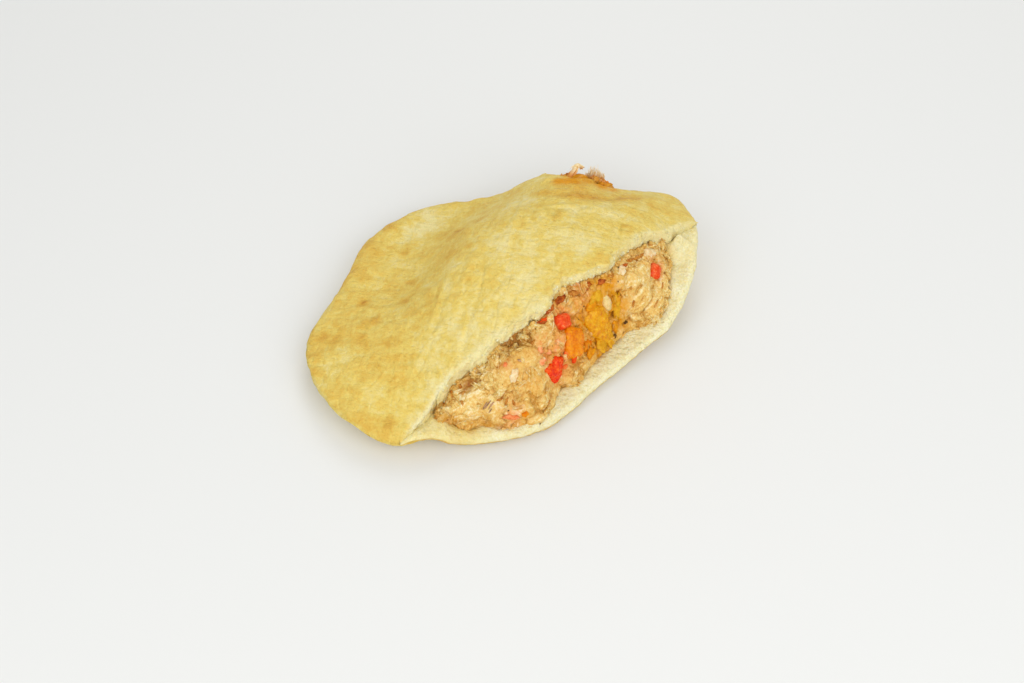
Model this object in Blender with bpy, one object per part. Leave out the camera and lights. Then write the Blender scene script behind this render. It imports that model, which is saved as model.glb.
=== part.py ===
"""Fried bake with saltfish: a flat fried bread split along one side and filled with flaked fish.

The bread is one closed solid with a pocket. Its mouth faces -Y and is about 150 mm long.
The filling fills the pocket, bulges out between the two lips and lies on the lower one.
Lengths below are in millimetres, angles in degrees counted from +X towards +Y.
"""
import math

import bmesh
import bpy
import numpy as np

# Outline of the bread seen from above: angle, radius, height of the middle of the edge
RIM = [
    (2, 59.0, 21.6), (9, 57.2, 22.6), (16, 55.0, 23.2), (23, 52.8, 23.2), (27, 52.0, 23.0),
    (32, 49.4, 21.2), (38, 47.6, 18.2), (47.5, 46.4, 13.8), (57, 46.8, 10.2), (63, 48.2, 8.2),
    (72.5, 51.0, 7.8), (83, 53.6, 7.8), (93, 55.2, 7.8), (104, 57.0, 7.8), (114, 58.2, 8.2),
    (126, 58.2, 8.6), (138, 60.8, 9.0), (149, 68.0, 9.0), (155, 73.0, 9.0), (161, 76.2, 9.0),
    (170, 78.6, 9.0), (182, 80.0, 9.0), (194, 79.6, 8.5), (199, 78.4, 7.6), (202, 76.6, 8.0), (205.5, 73.6, 9.5),
    (209, 71.2, 9.0), (214.5, 68.8, 5.6), (220, 67.2, 4.2), (229, 64.6, 3.6), (239, 62.4, 3.2),
    (248, 60.3, 3.2), (257, 57.2, 3.2), (271, 54.8, 3.6), (284.5, 56.4, 4.2), (296, 61.0, 5.6),
    (303, 65.6, 7.4), (311, 69.8, 11.0), (319, 73.6, 15.2), (327.5, 77.0, 19.2),
    (334.5, 79.2, 22.4), (340, 79.6, 21.0), (345, 80.3, 19.2), (349, 78.8, 18.0),
    (352.5, 74.4, 18.2), (356.5, 66.4, 20.0),
]
# Edge of the top layer over the mouth: angle, radius
TOP_LIP = [
    (201.5, 76.9), (203, 73.0), (204.2, 69.5), (205.2, 65.6), (207.2, 58.2), (211, 52.0),
    (216.5, 47.4), (223, 42.8), (234, 38.1), (247, 34.8), (258, 33.8), (268, 30.8),
    (277.5, 29.6), (286.5, 32.6), (296, 36.8), (302.5, 41.2), (312, 44.0), (320, 49.4),
    (325.2, 55.4), (329, 65.0), (332.6, 72.4), (334.5, 79.2),
]
# End of the pocket inside the closed part of the bread: angle, radius
POCKET_END = [
    (3, 54.5), (9, 53.4), (16, 51.2), (26.5, 48.4), (32, 43.5), (38, 40.0), (47.5, 35.5),
    (60, 33.5), (75, 30.0), (90, 28.0), (105, 27.0), (120, 28.5), (135, 32.5), (147, 39.0),
    (158, 48.0), (170, 55.0), (182, 60.0), (192, 64.5), (198, 69.0), (201.5, 71.5),
    (334.5, 75.0), (340, 71.0), (345, 68.5), (350, 64.5), (356, 56.0),
]
# Height of the bread's upper face: x, y, z
TOP = [
    (-68, -31, 12.4), (-59.8, -27.9, 12.8), (-51.9, -26.5, 17.2), (-44.6, -26.8, 22.0),
    (-38.3, -28.3, 26.0), (-31.2, -29.3, 30.0), (-22.2, -30.9, 33.4), (-13.3, -32.0, 35.4),
    (-7.2, -33.1, 36.4), (3.8, -29.1, 38.2), (9.1, -31.3, 38.4), (16.0, -32.9, 38.4),
    (21.9, -35.1, 37.8), (30.3, -32.4, 37.0), (37.7, -31.8, 35.4), (45.4, -31.6, 33.4),
    (55.5, -33.7, 30.0), (63.9, -33.2, 28.0), (72.5, -32.6, 26.4), (13.4, 2.7, 37.4),
    (16.8, -15.0, 38.8), (32.5, -20.0, 37.4), (48.8, -22.0, 34.0), (46.0, -6.0, 33.4),
    (63.0, -20.0, 29.0), (33.0, 13.0, 32.0), (-2.0, -4.0, 36.6), (-17.0, -20.0, 35.0),
    (-30.0, -18.0, 30.0), (1.8, 17.8, 28.8), (-14.7, 7.4, 30.8), (-31.0, -2.7, 28.2),
    (-42.4, -11.5, 24.2), (-49.3, -16.2, 20.4), (-56.9, -21.8, 16.4), (13.6, 36.0, 14.0),
    (1.0, 34.5, 13.6), (-19.8, 22.6, 16.4), (-33.5, 17.0, 17.0), (-43.9, 25.8, 14.0),
    (19.5, 26.0, 22.0), (5.5, 26.0, 20.8), (0, 48, 12.0), (-15, 50, 12.0), (14, 44, 12.2),
    (-30, 42, 12.6), (-45, 34, 12.6), (-53.5, -6, 18.4), (-68.5, 4, 13.0), (-60, 18, 13.0),
    (-70, -12, 13.0), (-66, -22, 12.4), (-46, 8, 19.4), (44, 20, 28.4), (53, 10, 28.6),
    (60, -3, 26.4), (38, 26, 24.2), (30, 31, 19.0), (24, 38, 15.0), (68, -11, 24.6),
    (74, -18, 24.0), (73, -26, 25.4),
]
# Outline of the filling: angle, radius
FILLING_EDGE = [
    (0, 47.5), (4, 49.0), (7, 59.2), (12, 58.4), (16, 57.0), (20, 55.4), (22.5, 54.0),
    (25.5, 45.0), (30, 40.0), (38, 36.0), (47.5, 32.5),
    (60, 30.5), (75, 27.5), (90, 25.5), (105, 24.5), (120, 25.5), (135, 29.0), (147, 35.0),
    (158, 43.0), (170, 50.0), (182, 55.0), (192, 57.5), (198, 58.5), (204, 59.5),
    (208, 63.8), (214, 63.6), (218, 64.0), (223, 61.4), (229, 61.4), (236, 60.8),
    (243, 59.4), (248, 56.0), (251, 52.0), (257, 49.4), (265, 50.2), (275, 47.4),
    (289, 49.0), (298, 51.2), (301.5, 57.0), (306, 62.6), (313, 64.4), (322, 65.4),
    (327.5, 65.0), (334.5, 62.0), (345, 57.5), (355, 48.2),
]
# Middle of the bread's extent, which becomes the origin
MIDDLE_X = -1.07
MIDDLE_Y = -0.15
MOUTH = (201.5, 334.5)
TEAR = (3.0, 26.5)
EDGE_HALF = 3.4
LIP_HALF = 2.3
LAYER = 4.3
GAP = 0.47
# Diced pieces on the filling: name, x, y, turn, (length, width, thickness), depth sunk in, colour
DICE = [
    ("red_pepper_front", -13.2, -44.6, 25, (8.0, 7.0, 3.6), 1.5, "red"),
    ("red_pepper_middle", -2.4, -37.4, -10, (5.8, 4.2, 2.8), 1.2, "red"),
    ("red_pepper_right", 42.5, -39.6, 35, (4.8, 4.2, 2.8), 1.2, "red"),
    ("orange_pepper", -2.0, -42.8, 60, (9.6, 8.2, 3.4), 1.5, "orange"),
]
YELLOW_AT = (11.5, -41.8)
YELLOW_SIZE = (19.0, 10.5, 2.6)
YELLOW_TURN = 100
# Larger chunks at the front of the filling: x, y, length, width, thickness, turn in degrees
CHUNKS = [
    (-45.5, -33.5, 17.0, 13.0, 3.2, 20), (-39.5, -41.5, 10.0, 8.0, 2.6, 60),
    (-32.5, -47.5, 11.0, 8.0, 2.6, -20), (-27.5, -52.5, 9.0, 6.0, 2.0, -30),
    (-30.0, -38.0, 13.0, 9.0, 3.0, 10), (-21.5, -38.5, 12.0, 8.5, 3.0, -25),
    (-22.0, -46.5, 9.0, 7.0, 2.4, 40), (-11.5, -37.0, 10.0, 7.0, 2.8, 15),
    (29.5, -44.5, 14.0, 10.0, 3.2, 30), (36.0, -47.5, 12.0, 8.0, 2.6, 35),
    (42.5, -43.5, 10.0, 8.0, 2.4, 50), (36.5, -38.5, 12.0, 8.0, 3.0, 15),
    (47.5, -37.0, 9.0, 7.0, 2.4, 70), (24.5, -37.5, 10.0, 7.0, 2.8, -10),
    (32.0, -34.8, 9.0, 5.0, 2.2, 0), (43.0, -34.5, 9.0, 5.0, 2.2, -10),
    (-8.0, -40.5, 8.0, 6.0, 2.6, 30), (-8.0, -47.4, 8.0, 6.0, 2.4, 10),
    (-19.0, -50.5, 8.0, 5.5, 2.0, 15), (5.0, -34.6, 9.0, 6.5, 2.6, 5),
    (4.0, -45.8, 7.5, 6.0, 2.6, 70), (17.5, -36.8, 9.0, 7.0, 2.6, 20),
    (19.0, -44.8, 8.0, 6.0, 2.4, 80), (24.2, -42.5, 8.5, 7.0, 2.8, 40),
    (23.0, -47.2, 8.0, 5.5, 2.2, 10), (30.0, -39.6, 9.0, 7.0, 2.8, -20),
]
# Torn strands that stick up out of the tear: width, points of the path
SHREDS = [
    (1.8, [(51.6, 13.6, 23.4), (53.0, 15.9, 25.8), (53.4, 16.6, 27.8), (54.5, 15.7, 28.8),
           (55.9, 14.1, 28.6), (55.6, 13.6, 27.4)]),
    (2.6, [(54.4, 7.6, 23.0), (58.8, 8.4, 25.0), (61.2, 9.0, 27.6)]),
    (2.0, [(53.6, 10.0, 23.2), (57.0, 11.2, 25.0), (58.2, 11.4, 26.4)]),
    (2.4, [(53.8, 7.4, 23.8), (58.2, 6.4, 24.4), (60.8, 5.2, 25.0)]),
]


def spline(stations, angles, column=1):
    """Smooth closed curve through stations of angle and value."""
    rows = sorted((s[0] % 360, s[column]) for s in stations)
    xs = np.array([r[0] for r in rows])
    ys = np.array([r[1] for r in rows])
    xs = np.concatenate((xs[-3:] - 360, xs, xs[:3] + 360))
    ys = np.concatenate((ys[-3:], ys, ys[:3]))
    step = np.diff(xs)
    slope = np.diff(ys) / step
    both = slope[:-1] * slope[1:] > 0
    w1 = 2 * step[1:] + step[:-1]
    w2 = step[1:] + 2 * step[:-1]
    first = np.where(both, slope[:-1], 1.0)
    second = np.where(both, slope[1:], 1.0)
    inner = np.where(both, (w1 + w2) / (w1 / first + w2 / second), 0.0)
    tangent = np.concatenate(([slope[0]], inner, [slope[-1]]))
    x = np.mod(np.asarray(angles, float), 360)
    i = np.clip(np.searchsorted(xs, x, side="right") - 1, 0, len(step) - 1)
    t = (x - xs[i]) / step[i]
    a = ys[i] * (1 + 2 * t) * (1 - t) ** 2 + ys[i + 1] * t * t * (3 - 2 * t)
    return a + step[i] * (tangent[i] * t * (1 - t) ** 2 - tangent[i + 1] * t * t * (1 - t))


def bump(t):
    """Zero at and below 0, one at and above 1, smooth between."""
    t = np.clip(t, 0, 1)
    return t * t * (3 - 2 * t)


def lattice(i, j, k, seed):
    """Repeatable value from -1 to 1 for each whole-number point of space."""
    n = (i * 73856093) ^ (j * 19349663) ^ (k * 83492791) ^ (seed * 2654435761)
    n = n & 0xFFFFFFFF
    n = ((n ^ (n >> 16)) * 0x45D9F3B) & 0xFFFFFFFF
    n = ((n ^ (n >> 16)) * 0x45D9F3B) & 0xFFFFFFFF
    return ((n ^ (n >> 16)) & 0xFFFF) / 32767.5 - 1


def value_noise(x, y, z, seed):
    """Smooth noise between -1 and 1 with features of size one."""
    x, y, z = np.broadcast_arrays(np.asarray(x, float), y, z)
    i, j, k = (np.floor(v).astype(np.int64) for v in (x, y, z))
    u, v, w = (bump(a - b) for a, b in ((x, i), (y, j), (z, k)))
    total = 0
    for a, fa in ((0, 1 - u), (1, u)):
        for b, fb in ((0, 1 - v), (1, v)):
            for c, fc in ((0, 1 - w), (1, w)):
                total = total + fa * fb * fc * lattice(i + a, j + b, k + c, seed)
    return total


def thin_plate(points):
    """Weights of the smoothest surface through the given heights."""
    p = np.array(points, float)
    d = np.hypot(p[:, None, 0] - p[None, :, 0], p[:, None, 1] - p[None, :, 1])
    n = len(p)
    a = np.zeros((n + 3, n + 3))
    a[:n, :n] = np.where(d > 0, d * d * np.log(d + 1e-12), 0) + 8.0 * np.eye(n)
    a[:n, n] = a[n, :n] = 1
    a[:n, n + 1] = a[n + 1, :n] = p[:, 0]
    a[:n, n + 2] = a[n + 2, :n] = p[:, 1]
    return p, np.linalg.solve(a, np.concatenate((p[:, 2], np.zeros(3))))


TOP_PLATE = thin_plate(TOP)


def top_height(x, y):
    """Height of the upper face without its rounded edge."""
    p, w = TOP_PLATE
    z = w[-3] + w[-2] * x + w[-1] * y
    for (px, py, _), weight in zip(p, w):
        d2 = (x - px) ** 2 + (y - py) ** 2 + 1e-9
        z = z + weight * 0.5 * d2 * np.log(d2)
    return z


def stretch(height, x, y):
    """Length of a step along a face for a level step of one."""
    e = 0.5
    gx = (height(x + e, y) - height(x - e, y)) / (2 * e)
    gy = (height(x, y + e) - height(x, y - e)) / (2 * e)
    return np.minimum(np.sqrt(1 + gx * gx + gy * gy), 1.6)


def curve(angles, radii):
    a = np.radians(angles)
    return np.stack((radii * np.cos(a), radii * np.sin(a)), -1)


def away(x, y, line):
    """Distance in plan from points to an open line of corners."""
    best = np.full(np.shape(x), 1e9)
    for a, b in zip(line[:-1], line[1:]):
        ab = b - a
        t = ((x - a[0]) * ab[0] + (y - a[1]) * ab[1]) / max(ab @ ab, 1e-9)
        t = np.clip(t, 0, 1)
        best = np.minimum(best, np.hypot(x - a[0] - t * ab[0], y - a[1] - t * ab[1]))
    return best


def arc(start, end, table, step=1.5):
    angles = np.linspace(start, end, max(3, int(abs(end - start) / step)))
    return curve(angles, spline(table, angles))


EDGE_LINE = arc(0, 360, RIM)
CLOSED_EDGE = (arc(MOUTH[1], TEAR[0] + 360, RIM), arc(TEAR[1], MOUTH[0], RIM))
CLOSED_POCKET = (
    arc(MOUTH[1], TEAR[0] + 360, POCKET_END),
    arc(TEAR[1], MOUTH[0], POCKET_END),
)


def rounding(distance, radius):
    t = np.clip(distance / radius, 0, 1)
    return np.sqrt(np.maximum(1 - (1 - t) ** 2, 0))


def angle_of(x, y):
    return np.degrees(np.arctan2(y, x)) % 360


def in_sector(angle, sector, soft):
    """One well inside the sector, zero outside, over a soft border."""
    a = np.mod(angle, 360)
    return bump((a - sector[0]) / soft) * bump((sector[1] - a) / soft)


def tear_lip(a):
    """Radius of the top layer's edge over the tear at the back."""
    return spline(RIM, a) - 1.2 - 6.5 * in_sector(np.mod(a, 360), TEAR, 9)


def bottom_height(x, y):
    """Height of the lower face without its rounded edge."""
    a = angle_of(x, y)
    open_part = in_sector(a, MOUTH, 9)
    half = EDGE_HALF + (LIP_HALF - EDGE_HALF) * open_part + 1.6 * in_sector(a, TEAR, 6)
    edge = np.maximum(spline(RIM, a, 2) - half, 0)
    reach = np.hypot(x, y) / spline(RIM, a)
    return edge * np.clip((reach - 0.5) / 0.5, 0, 1.3) ** 1.7


def layer(x, y):
    """Thickness of one bread layer, thinner round the tear."""
    return LAYER - 1.9 * np.exp(-((x - 52.5) ** 2 + (y - 16.0) ** 2) / 160)


def outer_top(x, y):
    d = np.minimum(away(x, y, CLOSED_EDGE[0]), away(x, y, CLOSED_EDGE[1]))
    middle = spline(RIM, angle_of(x, y), 2)
    return middle + (top_height(x, y) - middle) * rounding(d, 5.0)


def outer_bottom(x, y):
    d = away(x, y, EDGE_LINE)
    middle = spline(RIM, angle_of(x, y), 2)
    return middle + (bottom_height(x, y) - middle) * rounding(d, 4.0)


def inner_bottom(x, y):
    z = bottom_height(x, y) + layer(x, y) * stretch(bottom_height, x, y)
    middle = spline(RIM, angle_of(x, y), 2)
    d = away(x, y, EDGE_LINE)
    return np.where(d < 3.0, middle + (z - middle) * rounding(d, 3.0), z)


def inner_top(x, y):
    low = inner_bottom(x, y)
    high = top_height(x, y) - layer(x, y) * stretch(top_height, x, y)
    d = np.minimum(away(x, y, CLOSED_POCKET[0]), away(x, y, CLOSED_POCKET[1]))
    return low + np.maximum(high - low, 1.0) * rounding(d, 6.0)


def columns(step):
    """Angles of the grid's columns, about one step apart along the longest edge."""
    parts = []
    sectors = (
        (MOUTH[0], MOUTH[1], TOP_LIP, 1.0),
        (MOUTH[1], TEAR[0] + 360, RIM, 1.7),
        (TEAR[0] + 360, TEAR[1] + 360, RIM, 0.7),
        (TEAR[1] + 360, MOUTH[0] + 360, RIM, 1.9),
    )
    for start, end, table, wide in sectors:
        a = np.linspace(start, end, 600)
        lengths = []
        for t in (table, RIM):
            c = curve(a, spline(t, a))
            lengths.append(np.hypot(*np.diff(c, axis=0).T))
        run = np.concatenate(([0], np.cumsum(np.maximum(*lengths))))
        count = max(4, int(round(run[-1] / (step * wide))))
        parts.append(np.interp(np.linspace(0, run[-1], count + 1)[:-1], run, a))
    return np.concatenate(parts)


class Shell:
    """Points and faces of one closed skin, gathered ring by ring."""

    def __init__(self):
        self.points = []
        self.faces = []

    def ring(self, x, y, z):
        first = len(self.points)
        self.points.extend(zip(x, y, np.broadcast_to(z, np.shape(x))))
        return np.arange(first, first + len(x))

    def strip(self, a, b):
        n = len(a)
        for i in range(n):
            j = (i + 1) % n
            corners = [a[i], a[j], b[j], b[i]]
            corners = [c for k, c in enumerate(corners) if c != corners[k - 1]]
            if len(corners) > 2:
                self.faces.append(corners)

    def fan(self, ring, point):
        self.points.append(point)
        tip = len(self.points) - 1
        for i in range(len(ring)):
            self.faces.append([ring[i], ring[(i + 1) % len(ring)], tip])


def bread_shell(step, top_rings, bottom_rings, inner_rings, lip_rings, relief):
    """Closed skin of the bread: outer skin, pocket skin and the lips between them."""
    s = Shell()
    a = columns(step)
    mouth = (a > MOUTH[0] + 1e-6) & (a < MOUTH[1] - 1e-6)
    tear = (a > TEAR[0] + 360 + 1e-6) & (a < TEAR[1] + 360 - 1e-6)
    split = mouth | tear
    edge = spline(RIM, a)
    lip = np.where(mouth, spline(TOP_LIP, a), edge)
    ends = spline(POCKET_END, a)
    middle = spline(RIM, a, 2)

    def place(radius):
        return curve(a, radius).T

    # Rims of the outer skin: one ring where the bread is closed, two where it is split
    low_r = np.where(split, edge - 0.7, edge)
    high_r = np.where(mouth, lip - 0.5, np.where(tear, tear_lip(a) - 0.3, edge))
    x, y = place(low_r)
    low = s.ring(x, y, np.where(split, outer_bottom(x, y), middle))
    x, y = place(high_r)
    high_z = np.where(split, outer_top(x, y) + relief(x, y), middle)
    high = np.where(split, s.ring(x, y, high_z), low)

    # Rims of the pocket, in the same way
    in_low_r = np.where(split, edge - 1.3, ends)
    x, y = place(in_low_r)
    in_low = s.ring(x, y, inner_bottom(x, y))
    in_high_r = np.where(mouth, lip, np.where(tear, tear_lip(a), ends))
    x, y = place(in_high_r)
    in_high = np.where(split, s.ring(x, y, inner_top(x, y)), in_low)

    # Outer skin below and above
    previous = low
    for f in bottom_rings:
        x, y = place(low_r * f)
        now = s.ring(x, y, outer_bottom(x, y))
        s.strip(previous, now)
        previous = now
    s.fan(previous, (0.0, 0.0, 0.0))
    previous = high
    for f in top_rings:
        x, y = place(high_r * f)
        now = s.ring(x, y, outer_top(x, y) + relief(x, y))
        s.strip(previous, now)
        previous = now
    zero = np.zeros(1)
    s.fan(previous, (0.0, 0.0, float((outer_top(zero, zero) + relief(zero, zero))[0])))

    # Pocket skin below and above
    previous = in_low
    for f in inner_rings:
        x, y = place(in_low_r * f)
        now = s.ring(x, y, inner_bottom(x, y))
        s.strip(previous, now)
        previous = now
    s.fan(previous, (0.0, 0.0, float(inner_bottom(zero, zero)[0])))
    previous = in_high
    for f in inner_rings:
        x, y = place(in_high_r * f)
        now = s.ring(x, y, inner_top(x, y))
        s.strip(previous, now)
        previous = now
    s.fan(previous, (0.0, 0.0, float(inner_top(zero, zero)[0])))

    # Lips: bands between the outer skin and the pocket skin where the bread is split
    corner = ~split & (np.roll(split, 1) | np.roll(split, -1))
    band = split | corner
    p = np.array(s.points)
    low_from, low_to = low, in_low
    high_from, high_to = high, in_high
    lows, highs = [low_from], [high_from]
    for k in range(1, lip_rings + 1):
        t = k / (lip_rings + 1)
        swell = 0.75 * math.sin(math.pi * t)
        for rings, start, end in ((lows, low_from, low_to), (highs, high_from, high_to)):
            q = p[start] * (1 - t) + p[end] * t
            out = curve(a, np.ones_like(a))
            q[:, :2] += out * (swell * split)[:, None]
            made = s.ring(q[:, 0], q[:, 1], q[:, 2])
            if rings is highs:
                made = np.where(corner, lows[-1], made)
            rings.append(made)
    lows.append(low_to)
    highs.append(high_to)
    n = len(a)
    for rings in (lows, highs):
        for first, second in zip(rings[:-1], rings[1:]):
            for i in range(n):
                j = (i + 1) % n
                if band[i] and band[j] and (split[i] or split[j]):
                    s.faces.append([first[i], first[j], second[j], second[i]])
    return s


def face_part(a):
    """One where the filling shows in the mouth, zero where bread closes over it."""
    return in_sector(a, (205.5, 331), 4)


def filling_low(x, y):
    """Underside of the filling, resting just clear of the lower layer."""
    a = angle_of(x, y)
    r = np.minimum(np.hypot(x, y), spline(RIM, a) - 1.3)
    px, py = curve(a, r).T
    hidden = bump((spline(FILLING_EDGE, a) - r - 2) / 5)
    clear = GAP + 1.0 * hidden + 0.6 * in_sector(a, TEAR, 2)
    return inner_bottom(px, py) + clear * stretch(bottom_height, px, py)


def filling_top(x, y):
    """Upper face of the filling before its flakes are laid on."""
    a = angle_of(x, y)
    r = np.hypot(x, y)
    lip = spline(TOP_LIP, a)
    edge = spline(FILLING_EDGE, a)
    shown = face_part(a)
    low = filling_low(x, y)
    torn = in_sector(a, TEAR, 3) * bump((r - spline(RIM, a) + 18) / 6)
    held = np.where(torn > 0, np.minimum(r, tear_lip(a) - 0.1), r)
    px, py = curve(a, np.where(shown > 0, np.minimum(held, lip - 0.4), held)).T
    hollow = shown * (1.6 * np.exp(-np.maximum(lip - r, 0) / 5) + 1.6 * bump((214 - a) / 8))
    hidden = np.where(shown > 0, bump((lip - r) / 6), 1.0) * (1 - torn)
    cap = inner_top(px, py) - GAP - 1.9 * hidden - 0.3 * torn - hollow
    closed = low + np.maximum(cap - low, 0.3) * rounding(edge - r, 4.0)
    u = np.clip((r - lip) / np.maximum(edge - lip, 1), 0, 1)
    face = low + (cap - low) * np.maximum(1 - u ** 1.5, 0) ** 0.8
    out = np.where(r < lip, cap, face)
    crag = 0.9 * value_noise(x / 5, y / 5, cap / 5, 11) * bump((r - lip) / 3 + 0.6) * bump((edge - r) / 4)
    return closed * (1 - shown) + (out + crag) * shown


def filling_shell(step, rings, low_rings):
    """Closed skin of the filling's core."""
    s = Shell()
    a = np.unique(np.round(columns(step) % 360, 6))
    edge = spline(FILLING_EDGE, a)
    x, y = curve(a, edge).T
    rim = s.ring(x, y, filling_low(x, y) + 0.35)
    previous = rim
    for f in low_rings:
        x, y = curve(a, edge * f).T
        now = s.ring(x, y, filling_low(x, y))
        s.strip(previous, now)
        previous = now
    zero = np.zeros(1)
    s.fan(previous, (0.0, 0.0, float(filling_low(zero, zero)[0])))
    lip = spline(TOP_LIP, a)
    shown = face_part(a) > 0.5
    previous = rim
    for f in rings:
        inside = edge * (1 - 0.985 * f)
        start = np.minimum(lip, edge - 4)
        stepped = np.where(f < 0.6, edge + (start - edge) * f / 0.6, start * (1 - (f - 0.6) / 0.4))
        r = np.where(shown, stepped, inside)
        x, y = curve(a, r).T
        now = s.ring(x, y, filling_top(x, y))
        s.strip(previous, now)
        previous = now
    s.fan(previous, (0.0, 0.0, float(filling_top(zero, zero)[0])))
    return s


def flake_mesh(rng, length, width, thick, sides):
    """Chunk of fish: an uneven slab with a worn upper edge, standing on z = 0."""
    points = []
    turn = rng.uniform(0, 6.28)
    wobble = rng.uniform(0.78, 1.15, sides)
    for z, grow in ((-0.5, 0.86), (0.35, 1.0), (1.0, 0.66)):
        for k in range(sides):
            t = turn + 2 * math.pi * k / sides
            r = grow * wobble[k]
            lift = thick * (z + 0.12 * rng.uniform(-1, 1))
            points.append((0.5 * length * r * math.cos(t), 0.5 * width * r * math.sin(t), lift))
    faces = [tuple(reversed(range(sides)))]
    for level in (0, sides):
        for k in range(sides):
            j = (k + 1) % sides
            faces.append((level + k, level + j, level + sides + j, level + sides + k))
    faces.append(tuple(range(2 * sides, 3 * sides)))
    return np.array(points), faces


def face_frame(x, y):
    """Point on the filling's upper face with two directions along it and the one out of it."""
    e = 0.7
    xs = np.array([x, x + e, x - e, x, x])
    ys = np.array([y, y, y, y + e, y - e])
    z = filling_top(xs, ys)
    out = np.array([-(z[1] - z[2]) / (2 * e), -(z[3] - z[4]) / (2 * e), 1.0])
    out /= np.linalg.norm(out)
    across = np.cross(out, (1.0, 0.0, 0.0))
    across /= np.linalg.norm(across)
    return np.array([x, y, z[0]]), np.cross(across, out), across, out


def laid(points, x, y, turn, sink):
    """Points of a piece set down on the filling's face, turned in its plane."""
    spot, along, across, out = face_frame(x, y)
    c, s = math.cos(turn), math.sin(turn)
    u = along * c + across * s
    v = across * c - along * s
    return spot + points[:, :1] * u + points[:, 1:2] * v + (points[:, 2:] - sink) * out


def draped(points, x, y, turn, sink):
    """Points of a soft piece laid over the filling's face so that it follows the face."""
    spot, along, across, out = face_frame(x, y)
    c, s = math.cos(turn), math.sin(turn)
    u = along * c + across * s
    v = across * c - along * s
    laid_points = []
    for p in points:
        q = spot + p[0] * u + p[1] * v
        here, _, _, normal = face_frame(q[0], q[1])
        laid_points.append(here + (p[2] - sink) * normal)
    return np.array(laid_points)


def kept_clear(points):
    """Points moved where needed so that they stay clear of both bread layers."""
    x, y, z = points.T
    a = angle_of(x, y)
    r = np.hypot(x, y)
    r = np.minimum(r, spline(RIM, a) + 1.4)
    x, y = curve(a, r).T
    lip = spline(TOP_LIP, a)
    px, py = curve(a, np.minimum(r, lip - 0.3)).T
    ceiling = inner_top(px, py) - GAP - 0.25
    held = np.minimum(r, spline(RIM, a) - 1.3)
    px, py = curve(a, held).T
    floor = inner_bottom(px, py) + GAP + 0.15
    near = r < lip + 1.5
    z = np.where(near, np.minimum(z, ceiling), z)
    return np.stack((x, y, np.maximum(z, floor)), -1)


def diced(rng, length, width, thick, across=4, along=4):
    """Diced pepper: a cushion of skin and flesh with cut sides and worn corners."""
    points = []
    faces = []
    index = {}
    for level in (0, 1):
        for i in range(across + 1):
            for j in range(along + 1):
                u, v = 2 * i / across - 1, 2 * j / along - 1
                shrink = 1 - 0.13 * (u * v) ** 2
                x = 0.5 * length * u * shrink * (1 + 0.05 * rng.uniform(-1, 1))
                y = 0.5 * width * v * shrink * (1 + 0.05 * rng.uniform(-1, 1))
                dome = thick * (1 - 0.22 * max(abs(u), abs(v)) ** 3)
                z = level * dome + 0.06 * thick * rng.uniform(-1, 1)
                index[level, i, j] = len(points)
                points.append((x, y, z))
    for i in range(across):
        for j in range(along):
            quad = [index[1, i, j], index[1, i + 1, j], index[1, i + 1, j + 1], index[1, i, j + 1]]
            faces.append(quad)
            quad = [index[0, i, j], index[0, i, j + 1], index[0, i + 1, j + 1], index[0, i + 1, j]]
            faces.append(quad)
    border = [(i, 0) for i in range(across)] + [(across, j) for j in range(along)]
    border += [(i, along) for i in range(across, 0, -1)] + [(0, j) for j in range(along, 0, -1)]
    for a, b in zip(border, border[1:] + border[:1]):
        faces.append([index[0, a[0], a[1]], index[0, b[0], b[1]], index[1, b[0], b[1]], index[1, a[0], a[1]]])
    return np.array(points), faces


def soft_patch(rng, length, width, thick, sides):
    """Soft pepper flesh: a thin uneven patch with a wavy outline."""
    outline = rng.uniform(0.8, 1.08, sides)
    points = [(0.0, 0.0, 0.0), (0.0, 0.0, thick)]
    faces = []
    for grow, z in ((0.45, 0.0), (0.9, 0.06), (1.0, 0.45), (0.86, 0.85), (0.45, 1.0)):
        for k in range(sides):
            t = 2 * math.pi * k / sides
            r = grow * (outline[k] if grow > 0.5 else 1)
            lift = thick * z * (1 + 0.12 * rng.uniform(-1, 1))
            points.append((0.5 * length * r * math.cos(t), 0.5 * width * r * math.sin(t), lift))
    for level in range(4):
        for k in range(sides):
            j = (k + 1) % sides
            a, b = 2 + level * sides, 2 + (level + 1) * sides
            faces.append((a + k, a + j, b + j, b + k))
    for k in range(sides):
        j = (k + 1) % sides
        faces.append((0, 2 + j, 2 + k))
        faces.append((1, 2 + 4 * sides + k, 2 + 4 * sides + j))
    return np.array(points), faces


def flake_pieces(rng):
    """Large chunks by hand, smaller ones scattered between them over the filling's face."""
    pieces = []
    for x, y, length, width, thick, turn in CHUNKS:
        points, faces = flake_mesh(rng, length, width, thick, 7)
        pieces.append((kept_clear(laid(points, x, y, math.radians(turn), 0.5)), faces))
    placed = []
    tries = 0
    while len(placed) < 27 and tries < 900:
        tries += 1
        a = rng.uniform(208, 327)
        lip = float(spline(TOP_LIP, [a])[0])
        edge = float(spline(FILLING_EDGE, [a])[0])
        if edge - lip < 6:
            continue
        x, y = curve([a], [rng.uniform(lip + 3.0, edge - 1.5)])[0]
        crowd = [math.hypot(x - c[0], y - c[1]) for c in placed]
        big = [math.hypot(x - c[0], y - c[1]) - 0.3 * c[2] for c in CHUNKS]
        if min(crowd, default=99) < 5.2 or min(big) < 1.5:
            continue
        placed.append((x, y))
        size = rng.uniform(5.0, 8.0)
        points, faces = flake_mesh(rng, size, size * rng.uniform(0.55, 0.8), 2.2, 5)
        pieces.append((kept_clear(laid(points, x, y, rng.uniform(0, 6.28), 0.6)), faces))
    for width, path in SHREDS:
        pieces.append(shred_mesh(path, width))
    return pieces


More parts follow.
